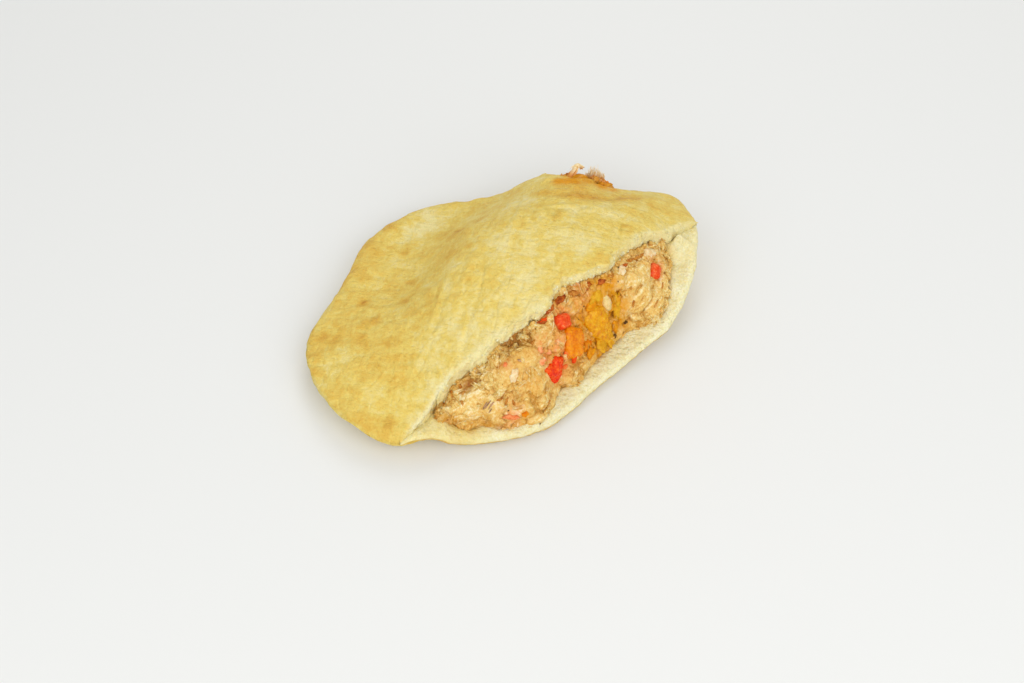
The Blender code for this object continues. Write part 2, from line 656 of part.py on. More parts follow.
def shred_mesh(path, width):
    """Thin torn strand along a path of points, tapering towards its end."""
    path = np.array(path, float)
    points = []
    for i, p in enumerate(path):
        ahead = path[min(i + 1, len(path) - 1)] - path[max(i - 1, 0)]
        ahead /= np.linalg.norm(ahead)
        side = np.cross(ahead, (0.42, 0.46, -0.78))
        side /= np.linalg.norm(side)
        over = np.cross(side, ahead)
        half = 0.5 * width * (1 - 0.45 * i / (len(path) - 1))
        for u, v in ((1, 0), (0, 0.6), (-1, 0), (0, -0.6)):
            points.append(p + half * (u * side + v * over))
    faces = [(3, 2, 1, 0)]
    for i in range(len(path) - 1):
        for k in range(4):
            j = (k + 1) % 4
            faces.append((4 * i + k, 4 * i + j, 4 * i + 4 + j, 4 * i + 4 + k))
    last = 4 * (len(path) - 1)
    faces.append((last, last + 1, last + 2, last + 3))
    return np.array(points), faces


def mesh_object(name, points, faces, material):
    """Mesh object in metres with unused points dropped and faces turned outward."""
    mesh = bpy.data.meshes.new(name)
    placed = np.array(points, float) - (MIDDLE_X, MIDDLE_Y, 0.0)
    mesh.from_pydata([tuple(float(c) * 0.001 for c in p) for p in placed], [], faces)
    b = bmesh.new()
    b.from_mesh(mesh)
    bmesh.ops.delete(b, geom=[v for v in b.verts if not v.link_faces], context="VERTS")
    bmesh.ops.recalc_face_normals(b, faces=b.faces)
    b.to_mesh(mesh)
    b.free()
    mesh.shade_smooth()
    mesh.set_sharp_from_angle(angle=math.radians(50))
    made = bpy.data.objects.new(name, mesh)
    bpy.context.scene.collection.objects.link(made)
    if material:
        mesh.materials.append(material)
    return made


def join_all(core, parts, operation="UNION"):
    """Applies one Boolean of all the parts to the core, then removes the parts."""
    group = bpy.data.collections.new("parts")
    bpy.context.scene.collection.children.link(group)
    for part in parts:
        group.objects.link(part)
    cut = core.modifiers.new("join", "BOOLEAN")
    cut.operation = operation
    cut.operand_type = "COLLECTION"
    cut.collection = group
    cut.solver = "MANIFOLD"
    graph = bpy.context.evaluated_depsgraph_get()
    done = bpy.data.meshes.new_from_object(core.evaluated_get(graph))
    core.modifiers.clear()
    core.data = done
    for part in parts:
        bpy.data.objects.remove(part, do_unlink=True)
    bpy.data.collections.remove(group)
    keep_largest(core)


def grown_copy(piece, amount):
    """Copy of a piece with every face moved out by the amount in millimetres."""
    b = bmesh.new()
    b.from_mesh(piece.data)
    b.normal_update()
    moves = {v: v.normal * (amount * 0.001 * v.calc_shell_factor()) for v in b.verts}
    for v, move in moves.items():
        v.co += move
    mesh = bpy.data.meshes.new("grown")
    b.to_mesh(mesh)
    b.free()
    made = bpy.data.objects.new("grown", mesh)
    bpy.context.scene.collection.objects.link(made)
    return made


def keep_largest(core):
    """Drops every loose scrap and sealed hollow, merging points that coincide."""
    b = bmesh.new()
    b.from_mesh(core.data)
    bmesh.ops.triangulate(b, faces=b.faces)
    bmesh.ops.dissolve_degenerate(b, edges=b.edges, dist=2e-6)
    left = set(b.verts)
    groups = []
    while left:
        seed = left.pop()
        found = {seed}
        queue = [seed]
        while queue:
            v = queue.pop()
            for edge in v.link_edges:
                other = edge.other_vert(v)
                if other not in found:
                    found.add(other)
                    queue.append(other)
        left -= found
        groups.append(found)
    groups.sort(key=len)
    for small in groups[:-1]:
        bmesh.ops.delete(b, geom=list(small), context="VERTS")
    bmesh.ops.recalc_face_normals(b, faces=b.faces)
    b.to_mesh(core.data)
    b.free()


def plain_material(name, colour, roughness):
    material = bpy.data.materials.new(name)
    material.use_nodes = True
    shader = material.node_tree.nodes["Principled BSDF"]
    shader.inputs["Base Color"].default_value = (*colour, 1)
    shader.inputs["Roughness"].default_value = roughness
    return material


def bread_relief(x, y):
    """Broad waves and shallow wrinkles of the fried skin."""
    along = 0.64 * x + 0.77 * y
    across = 0.77 * x - 0.64 * y
    return 0.45 * value_noise(x / 15, y / 15, 0, 3) + 0.3 * value_noise(along / 16, across / 6, 0, 5)


def main():
    for old in list(bpy.data.objects):
        bpy.data.objects.remove(old, do_unlink=True)
    crust = plain_material("fried crust", (0.78, 0.58, 0.2), 0.5)
    s = bread_shell(
        step=3.5,
        top_rings=[0.985, 0.95, 0.9, 0.83, 0.74, 0.64, 0.53, 0.41, 0.28, 0.14],
        bottom_rings=[0.98, 0.94, 0.85, 0.7, 0.5, 0.25],
        inner_rings=[0.95, 0.87, 0.74, 0.56, 0.32],
        lip_rings=2,
        relief=bread_relief,
    )
    mesh_object("bake", s.points, s.faces, crust)
    fish = plain_material("saltfish", (0.82, 0.52, 0.22), 0.55)
    s = filling_shell(
        step=4.2,
        rings=[0.06, 0.14, 0.23, 0.32, 0.41, 0.5, 0.6, 0.68, 0.78, 0.9],
        low_rings=[0.93, 0.8, 0.6, 0.32],
    )
    core = mesh_object("saltfish", s.points, s.faces, fish)
    rng = np.random.default_rng(7)
    parts = [mesh_object("flake", points, faces, None) for points, faces in flake_pieces(rng)]
    join_all(core, parts)
    paints = {
        "red": plain_material("red pepper", (0.78, 0.07, 0.01), 0.35),
        "orange": plain_material("orange pepper", (0.8, 0.25, 0.01), 0.35),
    }
    yellow = plain_material("yellow pepper", (0.78, 0.4, 0.03), 0.35)
    toppings = []
    for name, x, y, turn, sizes, sink, paint in DICE:
        points, faces = diced(rng, *sizes)
        points = draped(points, x, y, math.radians(turn), sink)
        toppings.append(mesh_object(name, points, faces, paints[paint]))
    points, faces = soft_patch(rng, *YELLOW_SIZE, 14)
    points = draped(points, *YELLOW_AT, math.radians(YELLOW_TURN), 1.1)
    toppings.append(mesh_object("yellow_pepper", points, faces, yellow))
    cutters = [grown_copy(piece, 0.55) for piece in toppings]
    join_all(core, cutters, "DIFFERENCE")


main()
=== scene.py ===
"""Looks of a fried bake with saltfish: crust, crumb, flaked filling, pepper and light.

Lengths in the shape functions are millimetres, angles are degrees counted from +X towards +Y.
"""
import math
from types import SimpleNamespace

import bmesh
import bpy
import numpy as np
from bpy.props import FloatProperty, FloatVectorProperty, IntProperty, PointerProperty
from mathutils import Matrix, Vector


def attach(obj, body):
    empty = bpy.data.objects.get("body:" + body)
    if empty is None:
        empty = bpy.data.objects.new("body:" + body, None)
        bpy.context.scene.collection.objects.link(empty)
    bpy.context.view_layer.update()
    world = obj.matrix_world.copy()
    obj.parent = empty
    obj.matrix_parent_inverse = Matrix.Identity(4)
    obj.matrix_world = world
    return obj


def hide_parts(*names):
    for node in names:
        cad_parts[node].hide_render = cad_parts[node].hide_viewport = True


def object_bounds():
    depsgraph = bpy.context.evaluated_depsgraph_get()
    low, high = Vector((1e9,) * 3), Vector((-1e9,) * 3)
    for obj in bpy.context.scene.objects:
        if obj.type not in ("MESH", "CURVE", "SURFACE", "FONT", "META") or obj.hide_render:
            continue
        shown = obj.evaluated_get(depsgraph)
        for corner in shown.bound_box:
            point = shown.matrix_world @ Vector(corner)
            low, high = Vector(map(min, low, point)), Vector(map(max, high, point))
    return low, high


bl_info = {
    "name": "Fried bake with saltfish",
    "version": (1, 0, 0),
    "blender": (4, 5, 0),
    "location": "3D View > Sidebar > Bake",
    "description": "Makes the crust, crumb, flaked filling, pepper and stage of a fried bake",
    "category": "Add Mesh",
}

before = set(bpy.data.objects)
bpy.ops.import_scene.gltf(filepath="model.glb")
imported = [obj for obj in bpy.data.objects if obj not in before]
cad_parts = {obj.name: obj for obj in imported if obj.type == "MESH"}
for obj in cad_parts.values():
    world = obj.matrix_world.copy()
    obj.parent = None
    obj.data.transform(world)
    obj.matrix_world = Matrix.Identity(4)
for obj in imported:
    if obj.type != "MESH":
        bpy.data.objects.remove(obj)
CAD_LOW, CAD_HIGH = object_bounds()
MM = 0.001
# Middle of the bread's box, measured where the tables below have their zero
MIDDLE = (-1.07, -0.15, 0.0)

# Outline of the bread seen from above: angle, radius, height of the middle of the edge
RIM = [
    (2, 59.0, 21.6), (9, 57.2, 22.6), (16, 55.0, 23.2), (23, 52.8, 23.2), (27, 52.0, 23.0),
    (32, 49.4, 21.2), (38, 47.6, 18.2), (47.5, 46.4, 13.8), (57, 46.8, 10.2), (63, 48.2, 8.2),
    (72.5, 51.0, 7.8), (83, 53.6, 7.8), (93, 55.2, 7.8), (104, 57.0, 7.8), (114, 58.2, 8.2),
    (126, 58.2, 8.6), (138, 60.8, 9.0), (149, 68.0, 9.0), (155, 73.0, 9.0), (161, 76.2, 9.0),
    (170, 78.6, 9.0), (182, 80.0, 9.0), (194, 79.6, 8.5), (199, 78.4, 7.6), (202, 76.6, 8.0),
    (205.5, 73.6, 9.5), (209, 71.2, 9.0), (214.5, 68.8, 5.6), (220, 67.2, 4.2), (229, 64.6, 3.6),
    (239, 62.4, 3.2), (248, 60.3, 3.2), (257, 57.2, 3.2), (271, 54.8, 3.6), (284.5, 56.4, 4.2),
    (296, 61.0, 5.6), (303, 65.6, 7.4), (311, 69.8, 11.0), (319, 73.6, 15.2), (327.5, 77.0, 19.2),
    (334.5, 79.2, 22.4), (340, 79.6, 21.0), (345, 80.3, 19.2), (349, 78.8, 18.0),
    (352.5, 74.4, 18.2), (356.5, 66.4, 20.0),
]
# Edge of the top layer over the mouth: angle, radius
TOP_LIP = [
    (201.5, 76.9), (203, 73.0), (204.2, 69.5), (205.2, 65.6), (207.2, 58.2), (211, 52.0),
    (216.5, 47.4), (223, 42.8), (234, 38.1), (247, 34.8), (258, 33.8), (268, 30.8), (277.5, 29.6),
    (286.5, 32.6), (296, 36.8), (302.5, 41.2), (312, 44.0), (320, 49.4), (325.2, 55.4),
    (329, 65.0), (332.6, 72.4), (334.5, 79.2),
]
# End of the pocket inside the closed part of the bread: angle, radius
POCKET_END = [
    (3, 54.5), (9, 53.4), (16, 51.2), (26.5, 48.4), (32, 43.5), (38, 40.0), (47.5, 35.5),
    (60, 33.5), (75, 30.0), (90, 28.0), (105, 27.0), (120, 28.5), (135, 32.5), (147, 39.0),
    (158, 48.0), (170, 55.0), (182, 60.0), (192, 64.5), (198, 69.0), (201.5, 71.5), (334.5, 75.0),
    (340, 71.0), (345, 68.5), (350, 64.5), (356, 56.0),
]
# Height of the bread's upper face: x, y, z
TOP = [
    (-68, -31, 12.4), (-59.8, -27.9, 12.8), (-51.9, -26.5, 17.2), (-44.6, -26.8, 22.0),
    (-38.3, -28.3, 26.0), (-31.2, -29.3, 30.0), (-22.2, -30.9, 33.4), (-13.3, -32.0, 35.4),
    (-7.2, -33.1, 36.4), (3.8, -29.1, 38.2), (9.1, -31.3, 38.4), (16.0, -32.9, 38.4),
    (21.9, -35.1, 37.8), (30.3, -32.4, 37.0), (37.7, -31.8, 35.4), (45.4, -31.6, 33.4),
    (55.5, -33.7, 30.0), (63.9, -33.2, 28.0), (72.5, -32.6, 26.4), (13.4, 2.7, 37.4),
    (16.8, -15.0, 38.8), (32.5, -20.0, 37.4), (48.8, -22.0, 34.0), (46.0, -6.0, 33.4),
    (63.0, -20.0, 29.0), (33.0, 13.0, 32.0), (-2.0, -4.0, 36.6), (-17.0, -20.0, 35.0),
    (-30.0, -18.0, 30.0), (1.8, 17.8, 28.8), (-14.7, 7.4, 30.8), (-31.0, -2.7, 28.2),
    (-42.4, -11.5, 24.2), (-49.3, -16.2, 20.4), (-56.9, -21.8, 16.4), (13.6, 36.0, 14.0),
    (1.0, 34.5, 13.6), (-19.8, 22.6, 16.4), (-33.5, 17.0, 17.0), (-43.9, 25.8, 14.0),
    (19.5, 26.0, 22.0), (5.5, 26.0, 20.8), (0, 48, 12.0), (-15, 50, 12.0), (14, 44, 12.2),
    (-30, 42, 12.6), (-45, 34, 12.6), (-53.5, -6, 18.4), (-68.5, 4, 13.0), (-60, 18, 13.0),
    (-70, -12, 13.0), (-66, -22, 12.4), (-46, 8, 19.4), (44, 20, 28.4), (53, 10, 28.6),
    (60, -3, 26.4), (38, 26, 24.2), (30, 31, 19.0), (24, 38, 15.0), (68, -11, 24.6),
    (74, -18, 24.0), (73, -26, 25.4),
]
# Outline of the filling: angle, radius
FILLING_EDGE = [
    (0, 47.5), (4, 49.0), (7, 59.2), (12, 58.4), (16, 57.0), (20, 55.4), (22.5, 54.0),
    (25.5, 45.0), (30, 40.0), (38, 36.0), (47.5, 32.5), (60, 30.5), (75, 27.5), (90, 25.5),
    (105, 24.5), (120, 25.5), (135, 29.0), (147, 35.0), (158, 43.0), (170, 50.0), (182, 55.0),
    (192, 57.5), (198, 58.5), (204, 59.5), (208, 63.8), (214, 63.6), (218, 64.0), (223, 61.4),
    (229, 61.4), (236, 60.8), (243, 59.4), (248, 56.0), (251, 52.0), (257, 49.4), (265, 50.2),
    (275, 47.4), (289, 49.0), (298, 51.2), (301.5, 57.0), (306, 62.6), (313, 64.4), (322, 65.4),
    (327.5, 65.0), (334.5, 62.0), (345, 57.5), (355, 48.2),
]
# Larger chunks at the front of the filling:
# x, y, length, width, thickness, turn, paleness
CHUNKS = [
    (-45.5, -33.5, 17.0, 13.0, 3.2, 20, 0.85), (-39.5, -41.5, 10.0, 8.0, 2.6, 60, 0.6),
    (-32.5, -47.5, 11.0, 8.0, 2.6, -20, 0.6), (-27.5, -52.5, 9.0, 6.0, 2.0, -30, 0.55),
    (-30.0, -38.0, 13.0, 9.0, 3.0, 10, 0.45), (-21.5, -38.5, 12.0, 8.5, 3.0, -25, 0.35),
    (-22.0, -46.5, 9.0, 7.0, 2.4, 40, 0.5), (-11.5, -37.0, 10.0, 7.0, 2.8, 15, 0.6),
    (29.5, -44.5, 14.0, 10.0, 3.2, 30, 0.6), (36.0, -47.5, 12.0, 8.0, 2.6, 35, 0.7),
    (42.5, -43.5, 10.0, 8.0, 2.4, 50, 0.65), (36.5, -38.5, 12.0, 8.0, 3.0, 15, 0.75),
    (47.5, -37.0, 9.0, 7.0, 2.4, 70, 0.7), (24.5, -37.5, 10.0, 7.0, 2.8, -10, 0.9),
    (32.0, -34.8, 9.0, 5.0, 2.2, 0, 0.6), (43.0, -34.5, 9.0, 5.0, 2.2, -10, 1.0),
    (-8.0, -40.5, 8.0, 6.0, 2.6, 30, 0.55), (-8.0, -47.4, 8.0, 6.0, 2.4, 10, 0.5),
    (-19.0, -50.5, 8.0, 5.5, 2.0, 15, 0.6), (5.0, -34.6, 9.0, 6.5, 2.6, 5, 0.45),
    (4.0, -45.8, 7.5, 6.0, 2.6, 70, 0.5), (17.5, -36.8, 9.0, 7.0, 2.6, 20, 0.7),
    (19.0, -44.8, 8.0, 6.0, 2.4, 80, 0.5), (24.2, -42.5, 8.5, 7.0, 2.8, 40, 0.85),
    (23.0, -47.2, 8.0, 5.5, 2.2, 10, 0.6), (30.0, -39.6, 9.0, 7.0, 2.8, -20, 0.8),
]
# Lumps of fish with a smoother, softer face: x, y, reach, paleness
SOFT_LUMPS = [
    (-36.0, -35.5, 4.5, 0.7), (-43.5, -33.0, 5.0, 0.85), (-26.0, -43.5, 4.5, 0.42),
    (-15.5, -46.5, 3.6, 0.5), (-33.5, -47.0, 3.4, 0.75),
]
# Hollows in the filling under the top lip: x, y, half length, half width, depth
PITS = [
    (-20.5, -32.6, 6.0, 4.0, 2.8), (-39.5, -30.8, 6.5, 3.0, 2.4), (-49.5, -26.8, 4.0, 2.5, 1.2),
]
# Crest of the bread, seen from above
CREST = [
    (23.6, 36.2), (1.8, 17.8), (-14.7, 7.4), (-31.0, -2.7), (-42.4, -11.5), (-49.3, -16.2),
    (-56.9, -21.8),
]
# Direction along the crest, with the mouth on its right
CREST_RUN = (72.9, 52.4)
# Darker crease of the crust by the tear: x, y
OILY_CREASE = [
    (30.0, 12.0), (35.0, 2.0), (41.6, -4.0), (47.0, -8.6), (60, -14),
]
# Browned spots of the crust: x, y, radius, strength
SPOTS = [
    (-43.7, 26.7, 1.7, 1.0), (-34.0, 12.8, 1.7, 1.0), (-15.6, 37.2, 1.5, 0.6),
    (-55.8, 12.2, 2.2, 0.6), (-60.7, 21.7, 1.7, 0.6), (-47.2, 14.1, 2.0, 0.7),
    (-63.3, 25.8, 1.8, 0.5), (-10.2, 51.3, 2.8, 0.7), (-1.9, 47.2, 2.8, 0.8),
    (-25.2, 20.8, 2.2, 0.7), (-18.8, -4.5, 0.9, 0.8), (0.9, 30.1, 3.0, 0.6), (2.0, 24.7, 1.5, 0.8),
    (-22.9, 49.8, 3.2, 0.5), (-70.2, -21.6, 2.4, 0.6), (41.4, -25.2, 1.5, 0.7),
    (-12.0, 14.0, 2.4, 0.5), (-6.5, 8.0, 1.6, 0.5), (9.0, 20.0, 2.6, 0.5), (-52.0, 2.0, 1.6, 0.5),
    (12.0, -2.0, 2.0, 0.4), (22.0, -6.0, 1.8, 0.4), (50.0, -20.0, 2.4, 0.5),
    (60.0, -22.0, 2.6, 0.6),
]
# Pale places of the crust: x, y, radius, strength
PALES = [
    (1.5, 43.3, 10.0, 1.3), (-8.0, 44.0, 7.0, 1.0), (39.4, 17.0, 3.2, 1.0), (11.9, -9.7, 6.0, 0.7),
    (37.3, -15.0, 8.0, 0.5), (-24.0, 36.0, 6.0, 0.4), (-68.0, 12.0, 6.0, 0.4),
    (-47.0, -22.0, 7.0, 0.6), (20.0, -22.0, 9.0, 0.5), (-12.0, -22.0, 8.0, 0.5),
]
# Low ridges and creases of the crust: x, y, half length, half width, turn, height
FOLDS = [
    (30.0, -2.5, 3.6, 1.0, -42, 0.6), (28.8, -4.0, 3.8, 0.8, -42, -0.4),
    (-31.5, 10.8, 1.6, 1.3, 0, 0.35), (-42.4, 25.0, 1.6, 1.3, 0, 0.35),
    (36.0, 7.0, 9.0, 1.6, -36, 0.45), (47.0, -7.5, 9.0, 1.5, -24, -0.4),
    (8.0, 29.0, 14.0, 2.0, 40, -0.5), (-14.0, 0.0, 18.0, 1.5, 38, 0.5),
    (-24.0, -14.0, 16.0, 1.2, 37, -0.4), (2.0, -6.0, 15.0, 1.2, 39, -0.35),
    (14.0, 5.0, 14.0, 1.4, 41, 0.35), (-36.0, -20.0, 12.0, 1.2, 33, 0.4),
    (-32.0, -3.0, 14.0, 1.0, 36, 0.42), (-30.9, -4.7, 14.0, 0.9, 36, -0.42),
    (-49.0, -12.9, 8.0, 1.0, 23, 0.36), (-48.3, -14.5, 8.0, 0.9, 23, -0.36),
]
# Orange oil round the tear at the back: x, y, reach, strength
TEAR_OIL = [
    (46.6, 8.2, 3.0, 1.6), (43.8, 9.8, 2.4, 1.6), (41.6, 11.6, 2.2, 1.3), (49.0, 8.6, 3.0, 1.4),
    (54.7, 1.2, 3.4, 1.2), (51.6, 5.6, 3.0, 0.9), (43.0, 3.0, 5.0, 0.35), (50.0, 13.0, 4.0, 1.2),
    (56.5, -3.2, 2.4, 0.9),
]
# Yellow and orange oil round the pepper pieces: x, y, reach, strength
PEPPER_OIL = [
    (0, -42.5, 5.5, 1.0), (4.5, -39.4, 3.4, 1.1), (20.5, -43.5, 3.4, 1.3), (11, -42, 7.0, 1.1),
    (19, -40, 5.5, 1.2), (21, -43, 4.0, 1.1), (15, -37.5, 5.0, 1.1), (8, -45.5, 5.0, 1.1),
    (-13, -44, 4.0, 0.5), (44, -39, 3.0, 0.3), (-32, -50, 3.0, 0.5), (-24, -45, 5.0, 0.4),
    (-24, -39, 5.0, 0.25), (3, -37.5, 4.5, 0.6), (23, -39, 3.0, 0.6), (-43, -42, 3.5, 0.3),
    (-53, -36.5, 2.6, 0.6), (-55.5, -32.5, 2.4, 0.6), (-48, -40.5, 2.0, 0.6),
]
# Red juice round the red pieces: x, y, reach, strength
RED_JUICE = [
    (-12, -43, 4.2, 0.8), (-7, -43, 4.0, 0.6), (-14.5, -40.5, 3.5, 0.6), (-2, -36.5, 4.0, 0.6),
    (44, -38.6, 3.4, 0.55), (-36, -47.6, 3.5, 0.5), (-29, -36.5, 2.4, 0.5), (8, -34, 4.0, 0.5),
    (-6, -33, 3.4, 0.5),
]
# Thicker flakes in the tear: x, y, z, size
TEAR_FLAKES = [
    (57.6, 7.4, 24.6, 5.0), (58.6, 5.0, 24.7, 5.0), (59.2, 2.6, 24.2, 4.4), (56.6, 9.6, 24.4, 4.0),
    (57.6, 4.2, 25.9, 4.2), (58.8, 0.6, 24.4, 4.2), (57.0, 6.8, 26.2, 3.8),
    (54.6, 12.4, 24.4, 3.6), (58.6, 2.4, 25.4, 3.6), (58.2, -1.4, 23.6, 3.2),
    (57.6, 6.0, 25.8, 4.0), (58.6, 3.6, 25.2, 3.6),
]
# Directions along the fish in the tear, and out of it
TEAR_AXES = ((0.7, -0.7, 0.1), (0.7, 0.7, 0.0), (0, 0, 1.0))
# Pieces laid on the filling: for each kind its darker and lighter colour, then
# x, y, length, width, thickness, turn of each piece
BITS = {
    "seed": ((220, 186, 112), (238, 212, 148), [
        (16.9, -39.8, 7.4, 3.4, 1.9, 95),
    ]),
    "milky": ((228, 192, 132), (245, 224, 182), [
        (44.4, -34.8, 6.8, 3.6, 1.7, -14), (27.0, -37.0, 6.0, 3.4, 1.2, 30),
        (-29.0, -41.0, 5.0, 3.2, 1.0, 40), (-12.6, -44.8, 4.2, 2.6, 1.0, 60),
    ]),
    "skin": ((150, 110, 80), (196, 156, 116), [
        (-41.6, -39.8, 3.2, 0.7, 0.5, 22), (-40.9, -40.7, 3.6, 0.6, 0.5, 18),
        (-40.2, -41.6, 3.2, 0.7, 0.5, 24), (-41.4, -42.2, 2.2, 0.5, 0.5, 30),
        (-24.6, -39.3, 2.4, 0.8, 0.5, -60),
    ]),
    "tan": ((184, 122, 48), (212, 158, 84), [
        (41.4, -45.4, 2.4, 0.8, 0.5, 40), (34.4, -48.8, 3.2, 0.8, 0.5, 30),
        (-47.0, -34.0, 2.2, 1.0, 0.5, 70), (-44.4, -31.8, 1.8, 0.8, 0.5, 20),
        (46.8, -41.2, 2.6, 1.2, 0.5, 60),
    ]),
    "orange": ((216, 112, 2), (232, 148, 20), [
        (-31.9, -50.1, 2.6, 2.2, 1.0, 0), (4.4, -43.8, 5.5, 4.4, 1.1, 20),
        (6.2, -39.8, 6.0, 4.0, 1.0, 0),
    ]),
    "yellow": ((202, 138, 12), (226, 172, 40), [
        (20.6, -41.6, 10.5, 4.2, 1.0, 76), (14.6, -37.8, 9.0, 4.0, 0.9, 12),
        (9.4, -45.4, 7.5, 5.6, 1.1, 54), (14.0, -45.6, 6.5, 4.2, 1.1, 60),
    ]),
    "amber": ((206, 124, 4), (230, 156, 18), [
        (11.0, -38.6, 6.0, 3.6, 0.9, 30), (18.0, -44.4, 5.0, 3.4, 1.0, 80),
        (3.8, -46.6, 4.6, 3.2, 0.9, 30),
    ]),
    "pink": ((220, 106, 48), (240, 154, 96), [
        (-36.3, -47.6, 5.4, 2.0, 0.8, -25), (-29.2, -36.5, 2.2, 1.6, 0.8, 40),
    ]),
    "salmon": ((236, 130, 76), (248, 180, 124), [
        (-17.2, -42.8, 3.6, 2.8, 1.3, 20), (-12.4, -40.9, 3.0, 2.2, 1.1, -40),
        (-15.6, -40.0, 3.0, 2.0, 1.0, 70), (-8.8, -41.6, 2.6, 1.8, 0.9, 80),
        (-2.6, -43.0, 3.4, 2.4, 1.0, 20),
    ]),
    "blush": ((226, 84, 24), (240, 132, 60), [
        (-6.0, -44.0, 3.6, 2.4, 1.1, 10), (-8.2, -45.6, 2.8, 2.0, 0.9, 30),
        (-1.2, -41.6, 2.6, 1.8, 0.9, 70),
    ]),
    "maroon": ((134, 48, 8), (196, 104, 36), [
        (-4.8, -33.0, 4.8, 2.8, 1.2, 20), (0.4, -32.4, 6.0, 2.6, 1.2, 5),
        (12.4, -34.2, 6.0, 2.8, 1.2, -10), (17.6, -35.6, 5.2, 2.6, 1.1, -14),
        (29.0, -35.6, 4.6, 1.8, 0.9, 0), (-10.5, -34.6, 3.4, 1.8, 0.9, -30),
    ]),
    "rust": ((164, 92, 22), (206, 142, 60), [
        (6.4, -33.0, 6.2, 2.4, 1.1, -5), (22.6, -36.6, 5.4, 2.0, 1.0, -8),
        (39.2, -34.4, 6.8, 2.0, 0.9, -10), (33.6, -34.9, 4.0, 1.4, 0.8, -5),
        (-35.2, -43.8, 3.4, 1.0, 0.7, 40), (-36.6, -42.0, 2.6, 0.9, 0.7, -10),
        (-33.4, -45.6, 2.8, 0.9, 0.7, 80), (-22.2, -51.6, 2.4, 0.9, 0.6, 20),
        (-16.7, -37.0, 3.4, 1.2, 0.8, 10), (25.8, -45.4, 2.8, 0.9, 0.6, 70),
        (38.6, -40.6, 3.4, 0.8, 0.5, 10), (-43.6, -28.8, 2.8, 1.2, 0.8, 60),
        (-47.3, -28.8, 2.8, 1.0, 0.8, 50), (-50.5, -27.8, 2.6, 1.0, 0.7, 40),
        (-53.6, -28.4, 2.4, 0.9, 0.7, 30),
    ]),
    "red": ((214, 50, 4), (240, 92, 22), [
        (-8.6, -34.9, 4.8, 1.9, 0.9, -10), (-4.6, -46.2, 3.0, 1.8, 0.9, 60),
    ]),
    "char": ((84, 58, 24), (132, 94, 44), [
        (16.6, -45.8, 2.4, 1.7, 1.0, 50), (23.4, -44.6, 2.0, 1.2, 0.7, 0),
        (-37.9, -28.4, 2.6, 1.8, 1.2, 30),
    ]),
}
# Pepper flesh: name, usual colour, darker and paler one
PEPPER_COLOURS = (
    ("red", (234, 60, 4), (212, 34, 2), (244, 112, 36)),
    ("soft_red", (236, 84, 26), (220, 52, 10), (246, 140, 84)),
    ("orange", (230, 132, 3), (212, 104, 2), (240, 160, 26)),
    ("yellow", (222, 152, 8), (202, 122, 4), (238, 190, 48)),
)
# Shreds that stand up from the tear, seen one by one: a hooked one with its cap and a loose end
HOOK = (
    (50.4, 14.5, 22.8), (51.2, 15.0, 26.4), (53.0, 14.8, 28.2), (53.9, 15.0, 29.5),
    (55.0, 14.7, 29.5), (56.2, 14.1, 28.3),
)
CAP = ((54.6, 14.6, 29.6), (55.8, 14.3, 28.9), (56.1, 13.9, 27.2))
LOOSE_END = ((54.0, 15.0, 29.5), (53.0, 15.6, 29.4), (52.2, 16.0, 28.7))
# Their strands: corners, shift, widths along the strand
STRANDS = (
    (HOOK, (0, 0, 0), (4.6, 3.4, 2.1, 1.8, 1.9, 1.4)),
    (HOOK, (0.6, -0.6, -0.4), (3.4, 2.4, 1.5, 1.3, 1.5, 0.9)),
    (HOOK, (-0.4, 0.5, -0.3), (3.0, 2.0, 1.1, 1.0, 0.9, 0.5)),
    (CAP, (0, 0, 0), (1.2, 1.9, 1.1)),
    (CAP, (-0.5, 0.4, -0.2), (0.8, 1.2, 0.6)),
    (LOOSE_END, (0, 0, 0), (0.9, 0.6, 0.3)),
)
# Bunches of strands that stand over the tear: where along it, root at its start, run of the root,
# uneven height of the root, share of the height, sideways lean, breadth, thickness
OILY_TUFT = (
    (0.25, 1.15), (56.2, 10.6, 23.8), (2.4, -7.4, 1.2), (-0.8, 0.3), (0.75, 1.05),
    ((-0.4, 0.3), (-0.3, 0.4)), (0.5, 1.2),
)
THIN_TUFT = (
    (0.0, 1.0), (56.0, 11.4, 25.0), (2.9, -7.2, 2.6), (-1.2, 0.3), (0.5, 1.0),
    ((-0.1, 0.5), (-0.2, 0.6)), (0.14, 0.36),
)
TUFT_STRANDS = 150
# Lights: name, place in metres, size in metres, colour
LAMPS = (
    ("key", (0.55, 0.45, 0.7), 0.45, (1.0, 0.985, 0.96)),
    ("front", (-0.15, -0.8, 0.65), 0.9, (1.0, 0.995, 0.985)),
    ("side", (-0.7, -0.2, 0.6), 0.8, (1.0, 0.995, 0.985)),
)
SKY = (1.0, 0.995, 0.985, 1.0)
LAMP_AIM = (0, 0, 0.015)
CAMERA_PLACE = (-0.21847, -0.25146, 0.39859)
CAMERA_TILT = 38.5
CAMERA_TURN = -42.0
# Corners of the floor, and half its width in metres
SQUARE = ((-1, -1), (1, -1), (1, 1), (-1, 1))
FLOOR_REACH = 8.0
# Marks kept on each point of the fish
FISH_MARKS = ("tint", "grain", "deep", "stain", "flush", "burnt", "smooth")
# Angles between which the bread is split: the mouth at the front, the tear at the back
MOUTH = (201.5, 334.5)
TEAR = (3.0, 26.5)
# Angles between which the filling is seen in them, and radius past which it is seen in the tear
MOUTH_FACE = (205.5, 331)
TEAR_FACE = (5, 24.5)
TEAR_FACE_RADIUS = 40
# Half thickness of the bread's edge where it is closed and at the mouth
EDGE_HALF = 3.4
LIP_HALF = 2.3
# Thickness of one layer of bread, and room between it and the filling
LAYER = 4.3
GAP = 0.47
